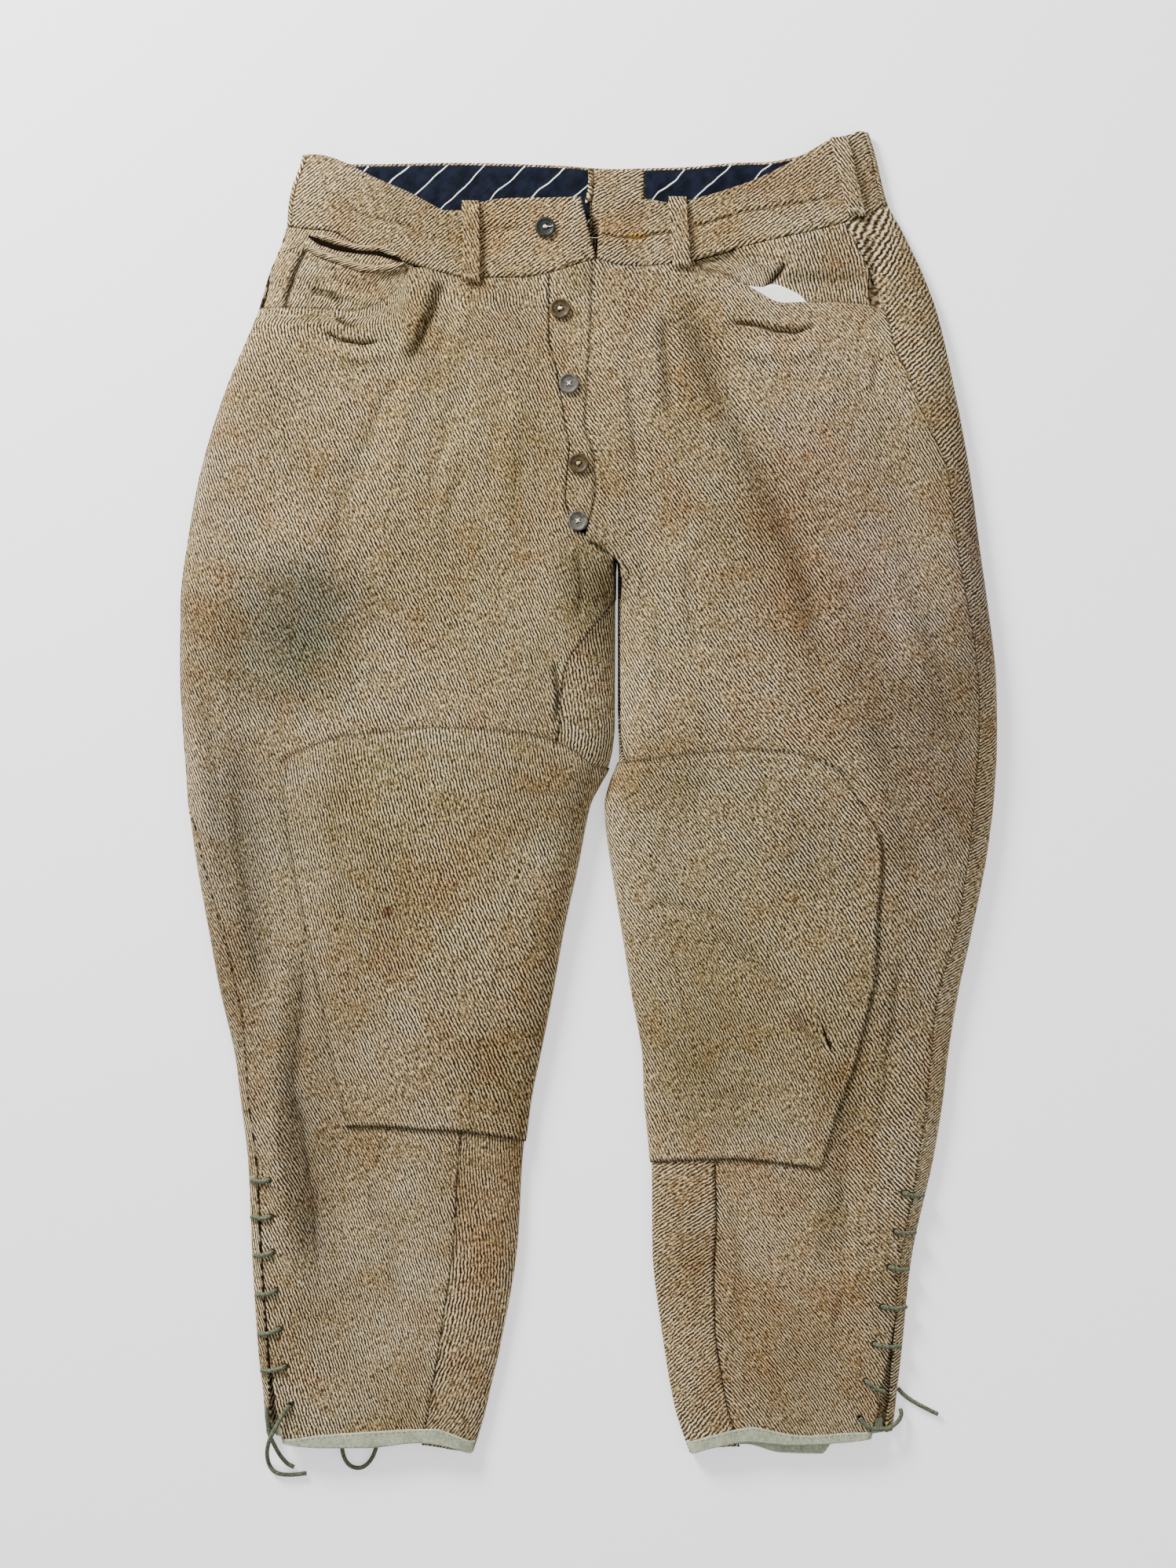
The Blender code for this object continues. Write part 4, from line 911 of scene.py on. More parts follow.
# %% [markdown]
# The smaller materials are simpler: a dark satin with thin woven stripes, plain cotton for the tapes
# and the pocket bag, green braid for the laces, thread, and cloudy horn for the buttons. They could each
# have a picture of their own, but one function for each kind keeps them in step with the real sizes.

# %% Lining, tape, cotton and lace
STRIPE_APART, STRIPE_HALF = 20.4, 0.42  # mm between slanting stripes, and half of one's width


def striped_lining():
    """A satin-weave lining: smooth and a little shiny, with thin woven stripes."""
    material, tree, shader = new_material("navy_satin_lining", Roughness=0.7,
                                          Specular_IOR_Level=0.06)
    cut = node(tree, "ShaderNodeUVMap", uv_map="cut").outputs["UV"]
    wobble = math_node(tree, "MULTIPLY", noise(tree, cut, 0.05, 1), 6.0)
    u = node(tree, "ShaderNodeSeparateXYZ", {"Vector": cut}).outputs["X"]
    across = math_node(tree, "WRAP", math_node(tree, "ADD", u, wobble), STRIPE_APART, 0.0)
    off = math_node(tree, "ABSOLUTE", math_node(tree, "SUBTRACT", across, STRIPE_APART / 2))
    line = math_node(tree, "LESS_THAN", off, STRIPE_HALF)
    cloth_colour = ramp(tree, noise(tree, cut, 0.11, 3), ((0.35, "#080B14"), (0.65, "#121724")))
    colour = node(tree, "ShaderNodeMix", {0: line, 6: cloth_colour, 7: (*linear("#E9E7DF"), 1)},
                  data_type="RGBA").outputs[2]
    tree.links.new(colour, shader.inputs["Base Color"])
    bump(tree, shader, noise(tree, stretched(tree, cut, 6.0, 14.0), 1.0, 2), 0.5, 1.2)
    return material


def plain_weave(name, colours, yarn, roughness=0.9, strength=0.4):
    """A plain cotton: two sets of yarns of one spacing, with slubs."""
    material, tree, shader = new_material(name, Roughness=roughness, Specular_IOR_Level=0.2,
                                          Sheen_Weight=0.15, Sheen_Roughness=0.5)
    cut = node(tree, "ShaderNodeUVMap", uv_map="cut").outputs["UV"]
    warp = noise(tree, stretched(tree, cut, yarn, yarn * 5), 1.0, 1)
    weft = noise(tree, stretched(tree, cut, yarn * 5, yarn), 1.0, 1)
    both = math_node(tree, "MULTIPLY", math_node(tree, "ADD", warp, weft), 0.5)
    cloud = noise(tree, cut, 0.06, 3)
    level = math_node(tree, "ADD", math_node(tree, "MULTIPLY", both, 0.7),
                      math_node(tree, "MULTIPLY", cloud, 0.3))
    tree.links.new(ramp(tree, level, colours), shader.inputs["Base Color"])
    bump(tree, shader, both, strength, 0.3)
    return material


def cord_or_horn(name, colours, grain_mm, roughness, strength, sheen=0.0, coat=0.0):
    """A material of small uneven grains on Object coordinates, for laces, threads and buttons."""
    material, tree, shader = new_material(name, Roughness=roughness, Sheen_Weight=sheen,
                                          Coat_Weight=coat, Specular_IOR_Level=0.2)
    place = node(tree, "ShaderNodeTexCoord").outputs["Object"]
    level = noise(tree, place, 1 / (grain_mm * MM), 2, 0.6)
    tree.links.new(ramp(tree, level, colours), shader.inputs["Base Color"])
    bump(tree, shader, level, strength, 0.25)
    return material


TWEED = wool_twill()
LINING = striped_lining()
TAPE = plain_weave("sage_cotton_tape", ((0.38, "#787D68"), (0.5, "#94987F"), (0.62, "#ACAF96")), 0.9)
WHITE = plain_weave("white_pocket_cotton", ((0.4, "#E2E0D8"), (0.6, "#F8F7F2")), 0.7)
LACE_GREEN = cord_or_horn("grey_green_lace", ((0.38, "#353A2A"), (0.5, "#4D523F"), (0.62, "#676D56")),
                          1.1, 0.9, 0.5, sheen=0.05)
TAN_THREAD = cord_or_horn("tan_thread", ((0.4, "#6E5B3C"), (0.6, "#C9B88E")), 0.8, 0.9, 0.3)
DARK_THREAD = cord_or_horn("dark_brown_thread", ((0.4, "#1E160C"), (0.6, "#3F3120")), 0.8, 0.9, 0.3)
SAGE_THREAD = cord_or_horn("sage_thread", ((0.4, "#6F7563"), (0.6, "#8E937F")), 0.8, 0.9, 0.3)
WHITE_THREAD = cord_or_horn("white_thread", ((0.4, "#CFC9B4"), (0.6, "#F2EFE4")), 0.5, 0.9, 0.3)
HORN = {
    "button_green": cord_or_horn("dark_green_horn", ((0.35, "#10120E"), (0.65, "#262922")), 3.0, 0.55,
                                 0.06, coat=0.02),
    "button_brown": cord_or_horn("olive_brown_horn", ((0.35, "#2C2110"), (0.65, "#4C3D22")), 3.0, 0.55,
                                 0.06, coat=0.02),
    "button_grey": cord_or_horn("grey_horn", ((0.35, "#3A3630"), (0.65, "#5E5850")), 3.0, 0.55,
                                0.06, coat=0.02),
}
# A near-black sheet of painted shade, laid in the torn seam's gap, the eyelets' holes and the rip, where
# there is only shadow.
SHADE_DARK = new_material("painted_shade_inside", Roughness=1.0, Specular_IOR_Level=0.0)[0]
SHADE_DARK.node_tree.nodes["Principled BSDF"].inputs["Base Color"].default_value = (*linear("#120D08"), 1)
print("materials", len(bpy.data.materials))


# %% [markdown]
# The legs are cut in fronts and backs. A back wraps round the outer fold and shows as a strip along the
# edge of the left leg, then lies on the table, and comes up round the inner fold to the inseam. The
# edges sink a little where two pieces are sewn, and are darkened there with seam dirt and painted
# shade, which is what draws a seam as a line.

# %% Fronts and backs
# degrees from straight down: above 0 where the wales run down to the left
GRAIN = {"front_right": -24, "front_left": -35, "back_right": 8, "back_left": -55}
# depth and reach in millimetres of the dip at an edge, and the strength of its darkening, which is seam
# dirt and painted shade
SEAM_DIP = (0.7, 2.6)
OUTER_DIP = (0.5, 2.2, 0.3)
PATCH_DIP = (0.5, 3.5, 0.8)
SLIT_DRAWN = (0.6, 0.4)  # how far each edge of the left slit is drawn in, in millimetres
SLIT_TOP, SLIT_FOOT = (745, 20), (930, 15)  # down of the drawn part's ends, and how long each fades
FLY_FOOT = 330  # down of the place where the left front's free edge ends
PATCH_SHADES = {"top": 0.42, "foot": 0.2, "side": 0.12}
PATCH_SHADE_REACH = 2.2


def row_down(top, foot, along):
    """down of a row: the upper rows follow the top edge, then come the rows of ROWS, then the hem."""
    levels = [lerp(top, ROWS[0], k / UPPER_ROWS) for k in range(UPPER_ROWS)] + list(ROWS) + [foot]
    stack = np.stack([np.broadcast_to(level, along.shape) for level in levels])
    at = along * (len(levels) - 1)
    low = np.minimum(at.astype(int), len(levels) - 2)
    first = np.take_along_axis(stack, low[None], 0)[0]
    second = np.take_along_axis(stack, low[None] + 1, 0)[0]
    return lerp(first, second, at - low)


def drawn_in(down):
    """1 where the lace draws the edges of the left leg's slit together, and 0 beyond it."""
    (top, top_fade), (foot, foot_fade) = SLIT_TOP, SLIT_FOOT
    return smooth((down - top) / top_fade) * smooth((foot - down) / foot_fade)


def front_x(side, share, down):
    """x across a front, from its outer seam to its fly edge or inseam."""
    way = inward(side, "outer")
    inset = curve(OUTSEAM[side], down, 1)
    if side == "left":
        inset = inset - SLIT_DRAWN[0] * drawn_in(down)
    start = fold_x(side, "outer", down) + way * (inset + SEAM_GAP / 2)
    fly = curve(STAND_SEAM if side == "right" else FLY_EDGE, down)
    if side == "left":
        fly = fly - way * np.where(down > FLY_FOOT, TWILL / 2, 0)
    inseam = curve(INSEAM[side], down)
    seam_end = fold_x(side, "inner", down) - way * (inseam + SEAM_GAP / 2)
    above = down < CROTCH
    end = np.where(above, fly, seam_end)
    inset_end = np.where(above, SIDE_RUN["inner"], inseam)
    first, last = start + way * OUTER_REACH, end - way * INNER_REACH
    near = np.clip(share / OUTER_SHARE, 0, 1) ** (2 - np.minimum(1, inset / SIDE_RUN["outer"]))
    far = np.clip((1 - share) / (1 - INNER_SHARE), 0, 1) ** (
        2 - np.minimum(1, inset_end / SIDE_RUN["inner"]))
    x = lerp(first, last, (share - OUTER_SHARE) / (INNER_SHARE - OUTER_SHARE))
    x = np.where(share < OUTER_SHARE, lerp(start, first, near), x)
    return np.where(share > INNER_SHARE, lerp(end, last, far), x)


def front(side):
    def place(across, along):
        down = np.full(across.shape, float(ROWS[0]))
        for _ in range(4):
            x = front_x(side, across, down)
            top = curve(FRONT_TOP[side], x) + SEAM_GAP / 2
            foot = curve(HEM[side], x) - SEAM_GAP
            down = row_down(top, foot, along)
        x = front_x(side, across, down)
        return x, down, top_height(side, x, down)
    return place


BACK_COLUMNS = {"outer": 3, "corner": 2, "floor": 8}
INNER_TURNS = (-1.5, -1.0, -0.5, -0.05, 0.3, 0.62, 0.9)
BACK_COLUMN_COUNT = sum(BACK_COLUMNS.values()) + len(INNER_TURNS)
FLOOR_MARGIN = 5.0
# half width and height in millimetres, then x and down, of the creases on the side that lies down
HIDDEN_CREASES = {
    "right": ((13, 1.6, ((-150, 150), (-172, 230), (-160, 320))),
              (17, 1.4, ((-62, 250), (-110, 330), (-186, 384))),
              (12, 1.2, ((-226, 420), (-190, 468), (-136, 480))),
              (15, 1.5, ((-66, 526), (-112, 560), (-176, 566))),
              (12, 1.3, ((-196, 640), (-172, 720), (-168, 800))),
              (11, 1.1, ((-122, 700), (-130, 790), (-146, 884)))),
    "left": ((14, 1.5, ((92, 140), (124, 222), (108, 326))),
             (17, 1.3, ((206, 300), (168, 372), (104, 424))),
             (12, 1.2, ((64, 482), (112, 512), (184, 500))),
             (14, 1.5, ((184, 584), (152, 640), (142, 726))),
             (11, 1.0, ((104, 664), (110, 760), (124, 868)))),
}


def off_table(side, x, down):
    """How far the side that lies on the table rises from it, along its creases."""
    if not SURFACE["creased"]:
        return np.zeros(np.shape(x))
    return sum(crease(line, half, rise, x, down) for half, rise, line in HIDDEN_CREASES[side])


def inner_turn(at, end):
    """The turn at a column round the inner fold, evened out where the cloth ends before it."""
    count = len(INNER_TURNS)
    even = lerp(INNER_TURNS[0], end, at / count)
    fixed = np.interp(np.minimum(at, count - 1), range(count), INNER_TURNS)
    stepped = np.where(at > count - 1, lerp(INNER_TURNS[-1], end, at - count + 1), fixed)
    return lerp(even, stepped, smooth((end - 0.9) / 0.4))


def back(side):
    way = inward(side, "outer")
    corner_at = BACK_COLUMNS["outer"]
    floor_at = corner_at + BACK_COLUMNS["corner"]
    inner_at = floor_at + BACK_COLUMNS["floor"]

    def spot(at, down):
        inset = curve(OUTSEAM[side], down, 2)
        if side == "left":
            inset = inset + SLIT_DRAWN[1] * drawn_in(down)
        start = np.where(inset > 0.5, turn_at("outer", inset - SEAM_GAP / 2), -0.006)
        turn = np.where(at <= corner_at, lerp(start, -0.04, at / corner_at),
                        lerp(-0.04, -1, (at - corner_at) / BACK_COLUMNS["corner"]))
        x, height = section(side, "outer", np.maximum(turn, -1), down)
        flat_start = fold_x(side, "outer", down) + way * CORNER
        around = np.clip((at - inner_at) / len(INNER_TURNS), 0, 1)
        share = smooth((down - CROTCH_START) / (CROTCH - CROTCH_START))
        centre = CENTRE_BACK - way * SEAM_GAP / 2
        inner = fold_x(side, "inner", CROTCH) - way * CORNER
        torso_end = lerp(centre, inner, share) - way * FLOOR_MARGIN
        leg_end = fold_x(side, "inner", down) - way * (CORNER + FLOOR_MARGIN)
        flat_end = np.where(down < CROTCH, torso_end, leg_end)
        across = np.clip((at - floor_at) / BACK_COLUMNS["floor"], 0, 1)
        curled_x, curled_z = section(side, "inner", lerp(-1.5, -0.06, around), np.full(at.shape, CROTCH))
        torso_x = lerp(lerp(torso_end, centre, around), curled_x, share)
        torso_z = lerp(TWILL / 2, curled_z, share)
        inset = curve(INSEAM[side], down)
        end = np.where(inset > 0.5, turn_at("inner", inset - SEAM_GAP / 2), -0.06)
        leg_x, leg_z = section(side, "inner", inner_turn(np.clip(at - inner_at, 0, None), end), down)
        inner_x = np.where(down < CROTCH, torso_x, leg_x)
        inner_z = np.where(down < CROTCH, torso_z, leg_z)
        x = np.where(at > floor_at, lerp(flat_start, flat_end, across), x)
        height = np.where(at > floor_at, TWILL / 2 + off_table(side, x, down), height)
        return np.where(at > inner_at, inner_x, x), np.where(at > inner_at, inner_z, height)

    def place(across, along):
        at = across * BACK_COLUMN_COUNT
        down = np.full(across.shape, float(ROWS[0]))
        for _ in range(4):
            x, _ = spot(at, down)
            top = np.where(at < corner_at, curve(WAIST_SEAM[side], x), curve(WAIST_BACK_SEAM, x))
            foot = curve(BACK_HEM[side], x) - SEAM_GAP
            down = row_down(top + SEAM_GAP, foot, along)
        x, height = spot(at, down)
        return x, down, height
    return place


def beside_patch(side):
    """Painted shade on a front close to its knee patch, most of all above it, where the patch stands up.
    """
    lines = {"top": PATCH_TOP[side], "foot": PATCH_FOOT[side],
             "side": [(x, down) for down, x in PATCH_SIDE[side]]}

    def shade(x, down):
        light = 1
        for edge, line in lines.items():
            gap, _ = line_distance(line, x, down)
            light = light * (1 - PATCH_SHADES[edge] * np.exp(-(gap / PATCH_SHADE_REACH) ** 2))
        return light
    return shade


for side in ("right", "left"):
    left = side == "left"
    dips = {"start": OUTER_DIP, "end": SEAM_DIP, "top": (0.5, 3.0)}
    cloth("leg_front_" + side, front(side), 122, 390, TWILL, TWEED, GRAIN["front_" + side], flip=left,
          dips=dips, nodes=["front_" + side], shade=beside_patch(side))
    cloth("leg_back_" + side, back(side), 120, 240, TWILL, TWEED, GRAIN["back_" + side], flip=left,
          bunched=0, dips={"start": OUTER_DIP, "end": SEAM_DIP}, nodes=["back_" + side])

# %% [markdown]
# The waistband is cut in three: two fronts, which end at the fly, and one back, which lies face down on
# the table, so that its striped lining shows over the fronts' top edge. The left one has a crease at half
# height, where its upper half has slipped a little over the lower.

# %% Waistbands
# the line of each waistband's crease in pixels, its height, and how far up its swelling reaches
BAND_CREASES = {
    "left": (((763, 299), (784, 304), (811, 305), (827, 301), (854, 297), (877, 292), (936, 274),
              (1007, 262), (1071, 250)), 1.3, 11),
    "right": (((612, 294), (630, 300), (650, 297), (676, 290)), 0.9, 9),
}


def band_step(side, x, down):
    """The upper half of a waistband where it overlaps the lower along its crease."""
    line, height, reach = BAND_CREASES[side]
    spots = on_cloth(line)
    xs, downs = zip(*spots)
    above = np.interp(x, xs, downs) - down
    inside = smooth((x - xs[0] + 2) / 8) * smooth((xs[-1] - x) / 14)
    step = smooth((above + 0.8) / 1.6) * np.clip(1 - above / reach, 0, 1)
    groove = -0.7 * np.exp(-((above + 1.2) / 1.1) ** 2)
    return inside * (height * step + groove)


def band_front(side):
    def place(across, along):
        down = np.full(across.shape, 60.0)
        for _ in range(4):
            outer = fold_x(side, "outer", down) + inward(side, "outer") * WAIST_JOIN
            inner = lerp(*WAIST_ENDS[side], along)
            x = lerp(inner, outer, 1 - (1 - across) ** 1.6)
            down = lerp(curve(WAIST_TOP[side], x), curve(WAIST_SEAM[side], x) - SEAM_GAP / 2, along)
        return x, down, top_height(side, x, down) + band_step(side, x, down)
    return place


def band_back(across, along):
    at = across * WAIST_BACK_COLUMNS
    down = np.full(across.shape, 40.0)
    join = turn_at("outer", np.array(WAIST_JOIN - SEAM_GAP))
    for _ in range(4):
        first = section("right", "outer", lerp(join, -1, np.clip(at / 4, 0, 1)), down, WAISTBAND)
        last = section("left", "outer", lerp(join, -1, np.clip((WAIST_BACK_COLUMNS - at) / 4, 0, 1)),
                       down, WAISTBAND)
        x = lerp(fold_x("right", "outer", down) + CORNER, fold_x("left", "outer", down) - CORNER,
                 (at - 4) / (WAIST_BACK_COLUMNS - 8))
        height = np.full(across.shape, WAISTBAND / 2)
        for near, (end_x, end_z) in ((at < 4, first), (at > WAIST_BACK_COLUMNS - 4, last)):
            x, height = np.where(near, end_x, x), np.where(near, end_z, height)
        down = lerp(curve(WAIST_BACK_TOP, x), curve(WAIST_BACK_SEAM, x) - SEAM_GAP / 2, along)
    return x, down, height


BAND_DIPS = {"start": (0.6, 2.0), "end": (0.6, 2.0), "top": (0.7, 2.5), "foot": (1.0, 2.2)}
cloth("waistband_front_right", band_front("right"), 130, 40, WAISTBAND, TWEED, 54, flip=True,
      dips=BAND_DIPS, nodes=["waistband_right"])
cloth("waistband_front_left", band_front("left"), 130, 40, WAISTBAND, TWEED, 54,
      dips=BAND_DIPS, nodes=["waistband_left"])
cloth("waistband_rear", band_back, 132, 20, WAISTBAND, TWEED, 50, bunched=0,
      nodes=["waistband_back"])

# %% [markdown]
# The waistband's back shows its inner face: two pieces of striped lining, with a strip of twill between
# them at the centre back. Each is a flat sheet just above the waistband, cut to the same curved edges
# and puckered a little, as thin lining is where it is sewn to thick cloth.

# %% Striped lining and centre-back facing
PUCKER = 0.35


def inside_sheet(ends, level):
    """A sheet that lies on the inner face of the waistband's back, with soft puckers."""
    def place(across, along):
        x = lerp(*ends, across)
        down = lerp(curve(WAIST_BACK_TOP, x) + LINING_DROP, curve(WAIST_BACK_SEAM, x) - 1, along)
        fade = smooth(across / 0.06) * smooth((1 - across) / 0.06) * smooth(along / 0.15)
        wave = np.sin(x / 5.3 + 2 * np.sin(x / 17)) * np.sin(x / 31 + down / 9)
        return x, down, level + PUCKER * fade * (1 + wave)
    return place


for side, ends in LINING_ENDS.items():
    cloth("lining_stripes_" + side, inside_sheet(ends, WAISTBAND + LAY_GAP + COTTON / 2), 110, 36, COTTON,
          LINING, 47, flip=False, nodes=["lining_" + side],
          shaded_and_stained=False)
cloth("facing_centre_back", inside_sheet(CENTRE_FACING, WAISTBAND + LAY_GAP + SINGLE / 2), 30, 36,
      SINGLE, TWEED, 60, nodes=["centre_back_facing"],
      dips={"start": (0.6, 2.0), "end": (0.6, 2.0)})

# %% [markdown]
# Under the left front lies the fly's stand, a narrow piece that carries the buttons. The pockets are cut
# into the fronts' upper corners: behind each mouth shows a facing of the same cloth, and on the left
# the free edge of a white cotton bag.

# %% Fly stand and pocket facings
FACING_INSET = 0.8  # the least distance in from the outer fold
SINK_ABOVE, SINK_RUN = 26, 12  # where a facing begins to sink above the mouth, and over what run
# the slit beside each pocket, darkened with painted shade: its shape, and its line in the photograph's
# pixels
SLIT_SHAPE = (5.5, -2.4, 1.6)
SLIT_DARK, SLIT_REACH = 0.95, 2.3
MOUTH_DARK, MOUTH_REACH = 0.6, 3.5
FLY_DARK, FLY_REACH, FLY_SHIFT = 0.62, 1.9, 1.2
FACING_SLITS = {
    "right": ((392, 318), (386, 330), (377, 352), (367, 380), (364, 400)),
    "left": ((1001, 338), (992, 350), (978, 366), (972, 378)),
}


def stand(across, along):
    down = np.full(across.shape, 200.0)
    for _ in range(4):
        seam = curve(STAND_SEAM, np.minimum(down, STAND_FOOT)) + 2 * SEAM_GAP
        x = lerp(seam, STAND_END, across)
        foot = STAND_FOOT + 0.3 * np.maximum(0, x + 12)
        down = lerp(curve(WAIST_SEAM["right"], x) + SEAM_GAP, foot, along)
    return x, down, top_height("right", x, down)


def facing(side, sink):
    """Level with the waistband at its top, and under the front below the mouth."""
    def place(across, along):
        down = np.full(across.shape, 110.0)
        for _ in range(4):
            inset = np.maximum(FACING_INSET, curve(OUTSEAM[side], down, 1) + SEAM_GAP)
            outer = fold_x(side, "outer", down) + inward(side, "outer") * inset
            x = lerp(FACING_END[side], outer, 1 - (1 - across) ** 1.5)
            top = curve(WAIST_SEAM[side], x) + SEAM_GAP
            down = lerp(top, curve(FRONT_TOP[side], x) + FACING_LAP, along)
        under = smooth((down - curve(FRONT_TOP[side], x) + SINK_ABOVE) / SINK_RUN)
        points = np.stack([x, TOP_Y - down, top_height(side, x, down)], axis=2)
        points = points - grid_normals(points, side == "right") * (sink * under)[..., None]
        half, depth, sharp = SLIT_SHAPE
        slit = crease(on_cloth(FACING_SLITS[side]), half, depth, points[..., 0],
                      TOP_Y - points[..., 1], sharp=sharp)
        return points[..., 0], TOP_Y - points[..., 1], points[..., 2] + slit
    return place


def pocket_bag(across, along):
    x = lerp(BAG_EDGE[0][0], BAG_EDGE[-1][0], across)
    down = lerp(curve(BAG_EDGE, x), curve(FRONT_TOP["left"], x) + BAG_LAP, along)
    return x, down, top_height("left", x, down) - (TWILL / 2 + LAY_GAP + COTTON / 2)


def under_mouth(side):
    """Painted shade close to the pocket's mouth, where the front's edge shades it, and in the slit."""
    def shade(x, down):
        below = down - curve(FRONT_TOP[side], x)
        mouth = 1 - MOUTH_DARK * smooth((below + MOUTH_REACH) / MOUTH_REACH)
        gap, along = line_distance(on_cloth(FACING_SLITS[side]), x, down)
        return mouth * (1 - SLIT_DARK * np.exp(-(gap / SLIT_REACH) ** 2) * smooth(along / 0.1))
    return shade


def under_fly(x, down):
    """Painted shade on the stand close to the left front's edge, which lies over it."""
    return 1 - FLY_DARK * np.exp(-((x - curve(FLY_EDGE, down) + FLY_SHIFT) / FLY_REACH) ** 2)


UNDER = TWILL / 2 + LAY_GAP
cloth("fly_button_stand", stand, 60, 120, SINGLE, TWEED, -30, dips={"start": (0.5, 2.0, 0.35)},
      nodes=["fly_stand"], shade=under_fly)
cloth("facing_right_pocket", facing("right", UNDER + SINGLE / 2), 140, 70, SINGLE, TWEED, -12,
      flip=False, nodes=["pocket_facing_right"], bunched=0.3,
      shade=under_mouth("right"))
cloth("facing_left_pocket", facing("left", UNDER + COTTON + LAY_GAP + SINGLE / 2), 140, 70, SINGLE, TWEED,
      -14, flip=True, nodes=["pocket_facing_left"], bunched=0.3,
      shade=under_mouth("left"))
cloth("white_pocket_bag", pocket_bag, 44, 24, COTTON, WHITE, 8, nodes=["pocket_bag_left"],
      shaded_and_stained=False)

# %% [markdown]
# Each knee has a large patch of the same cloth, sewn on top of the leg and carried round its inner fold.
# Its edges are turned under and pressed down by two rows of stitching, so the patch sinks at its edges,
# and the inseam beneath it shows through as a low ridge.

# %% Knee patches
PATCH_LIFT = TWILL / 2 + 0.35 + SINGLE / 2
PATCH_GRAIN = {"right": -20, "left": -33}
RIDGE, RIDGE_SPREAD = 0.6, 9  # height and squared half width of the inseam's ridge


def patch(side):
    way = inward(side, "inner")

    def place(across, along):
        down = np.full(across.shape, 600.0)
        turn = lerp(1, PATCH_TURN, np.clip((across - PATCH_SPLIT) / (1 - PATCH_SPLIT), 0, 1))
        for _ in range(5):
            crown_end = fold_x(side, "inner", down) + way * SIDE_RUN["inner"]
            over = lerp(curve(PATCH_SIDE[side], down), crown_end, across / PATCH_SPLIT)
            round_x, round_z = section(side, "inner", turn, down)
            x = np.where(across < PATCH_SPLIT, over, round_x)
            down = lerp(curve(PATCH_TOP[side], x), curve(PATCH_FOOT[side], x), along)
        ridge = RIDGE * np.exp(-((x - fold_x(side, "inner", down)) * way
                                 - curve(INSEAM[side], down)) ** 2 / RIDGE_SPREAD)
        height = np.where(across < PATCH_SPLIT, top_height(side, x, down), round_z)
        return x, down, height + np.where(turn > 0.2, ridge, 0)
    return place


for side in ("right", "left"):
    cloth("patch_knee_" + side, patch(side), 72, 96, SINGLE, TWEED, PATCH_GRAIN[side],
          lift=PATCH_LIFT, flip=side == "left", bunched=0.35,
          dips={"start": (0.5, 3.5, 0.6), "top": PATCH_DIP, "foot": PATCH_DIP},
          nodes=["knee_patch_" + side])

# %% [markdown]
# The hems are bound with a sage cotton tape, sewn round with a running stitch. The front's tape lies on
# the outside of the cloth, and inside the leg the back's tape shows below it.

# %% Hem tapes
def tape_front(side):
    def place(across, along):
        down = np.full(across.shape, 965.0)
        for _ in range(4):
            inset = curve(OUTSEAM[side], down, 1) + SEAM_GAP
            outer = fold_x(side, "outer", down) + inward(side, "outer") * inset
            inner = fold_x(side, "inner", down) + inward(side, "inner") * 1.5
            share = np.where(across < 0.5, across ** 0.8, 1 - (1 - across) ** 1.4)
            x = lerp(outer, inner, share)
            down = lerp(curve(TAPE_TOP[side], x), curve(HEM[side], x), along)
        return x, down, top_height(side, x, down)
    return place


def tape_back(side):
    ends = sorted(fold_x(side, edge, 970) + inward(side, edge) * (CORNER + 2)
                  for edge in ("outer", "inner"))

    def place(across, along):
        x = lerp(*ends, across)
        foot = curve(BACK_HEM[side], x)
        return x, lerp(foot - BACK_TAPE_DEPTH, foot, along), np.full(
            x.shape, TWILL + LAY_GAP + COTTON / 2)
    return place


for side in ("right", "left"):
    cloth("tape_hem_front_" + side, tape_front(side), 80, 12, COTTON, TAPE, 0,
          lift=TWILL / 2 + 0.3 + COTTON / 2, flip=side == "left", bunched=0.2,
          dips={"top": (0.3, 1.5)}, nodes=["hem_tape_front_" + side],
          shaded_and_stained=False)
    cloth("tape_hem_back_" + side, tape_back(side), 60, 8, COTTON, TAPE, 0, bunched=0,
          nodes=["hem_tape_back_" + side],
          shaded_and_stained=False)

# %% [markdown]
# A belt loop is a strip folded in three and pressed, tacked down at both ends, so it arches over the
# waistband and its long edges are rounded. The lower end is turned under and makes a thick short roll.

# %% Belt loops
ROLL = 2.0
LOOP_GRAIN = {"belt_loop_right": -25, "belt_loop_left": -25, "belt_loop_side": -38}


def belt_loop(side, width, upper, lower):
    def place(across, along):
        x = lerp(upper[0], lower[0], along) + (across - 0.5) * width
        down = lerp(upper[1], lower[1], along)
        arch = smooth(along / 0.22) * smooth((1 - along) / 0.22)
        edge = 1 - np.abs(2 * across - 1) ** 4
        roll = ROLL * np.exp(-((along - 0.95) / 0.03) ** 2)
        lift = WAISTBAND / 2 + LAY_GAP + LOOP_THICK / 2 + (LOOP_CLEAR - 0.6) * arch
        return x, down, top_height(side, x, down) + lift + 0.5 * edge + roll
    return place


for name, side, width, upper, lower in LOOPS:
    cloth("strip_" + name, belt_loop(side, width, upper, lower), 16, 60, LOOP_THICK, TWEED,
          LOOP_GRAIN[name], nodes=[name],
          bunched=0.3)


# %% [markdown]
# Stitches, buttons and laces lie on the cloth, so each needs the cloth's height and its way out
# there. Rows of stitches are read from the photograph. A stitch is a small icosphere drawn out
# along its row: it could be a texture, but real ones catch the light and stay right in close views.

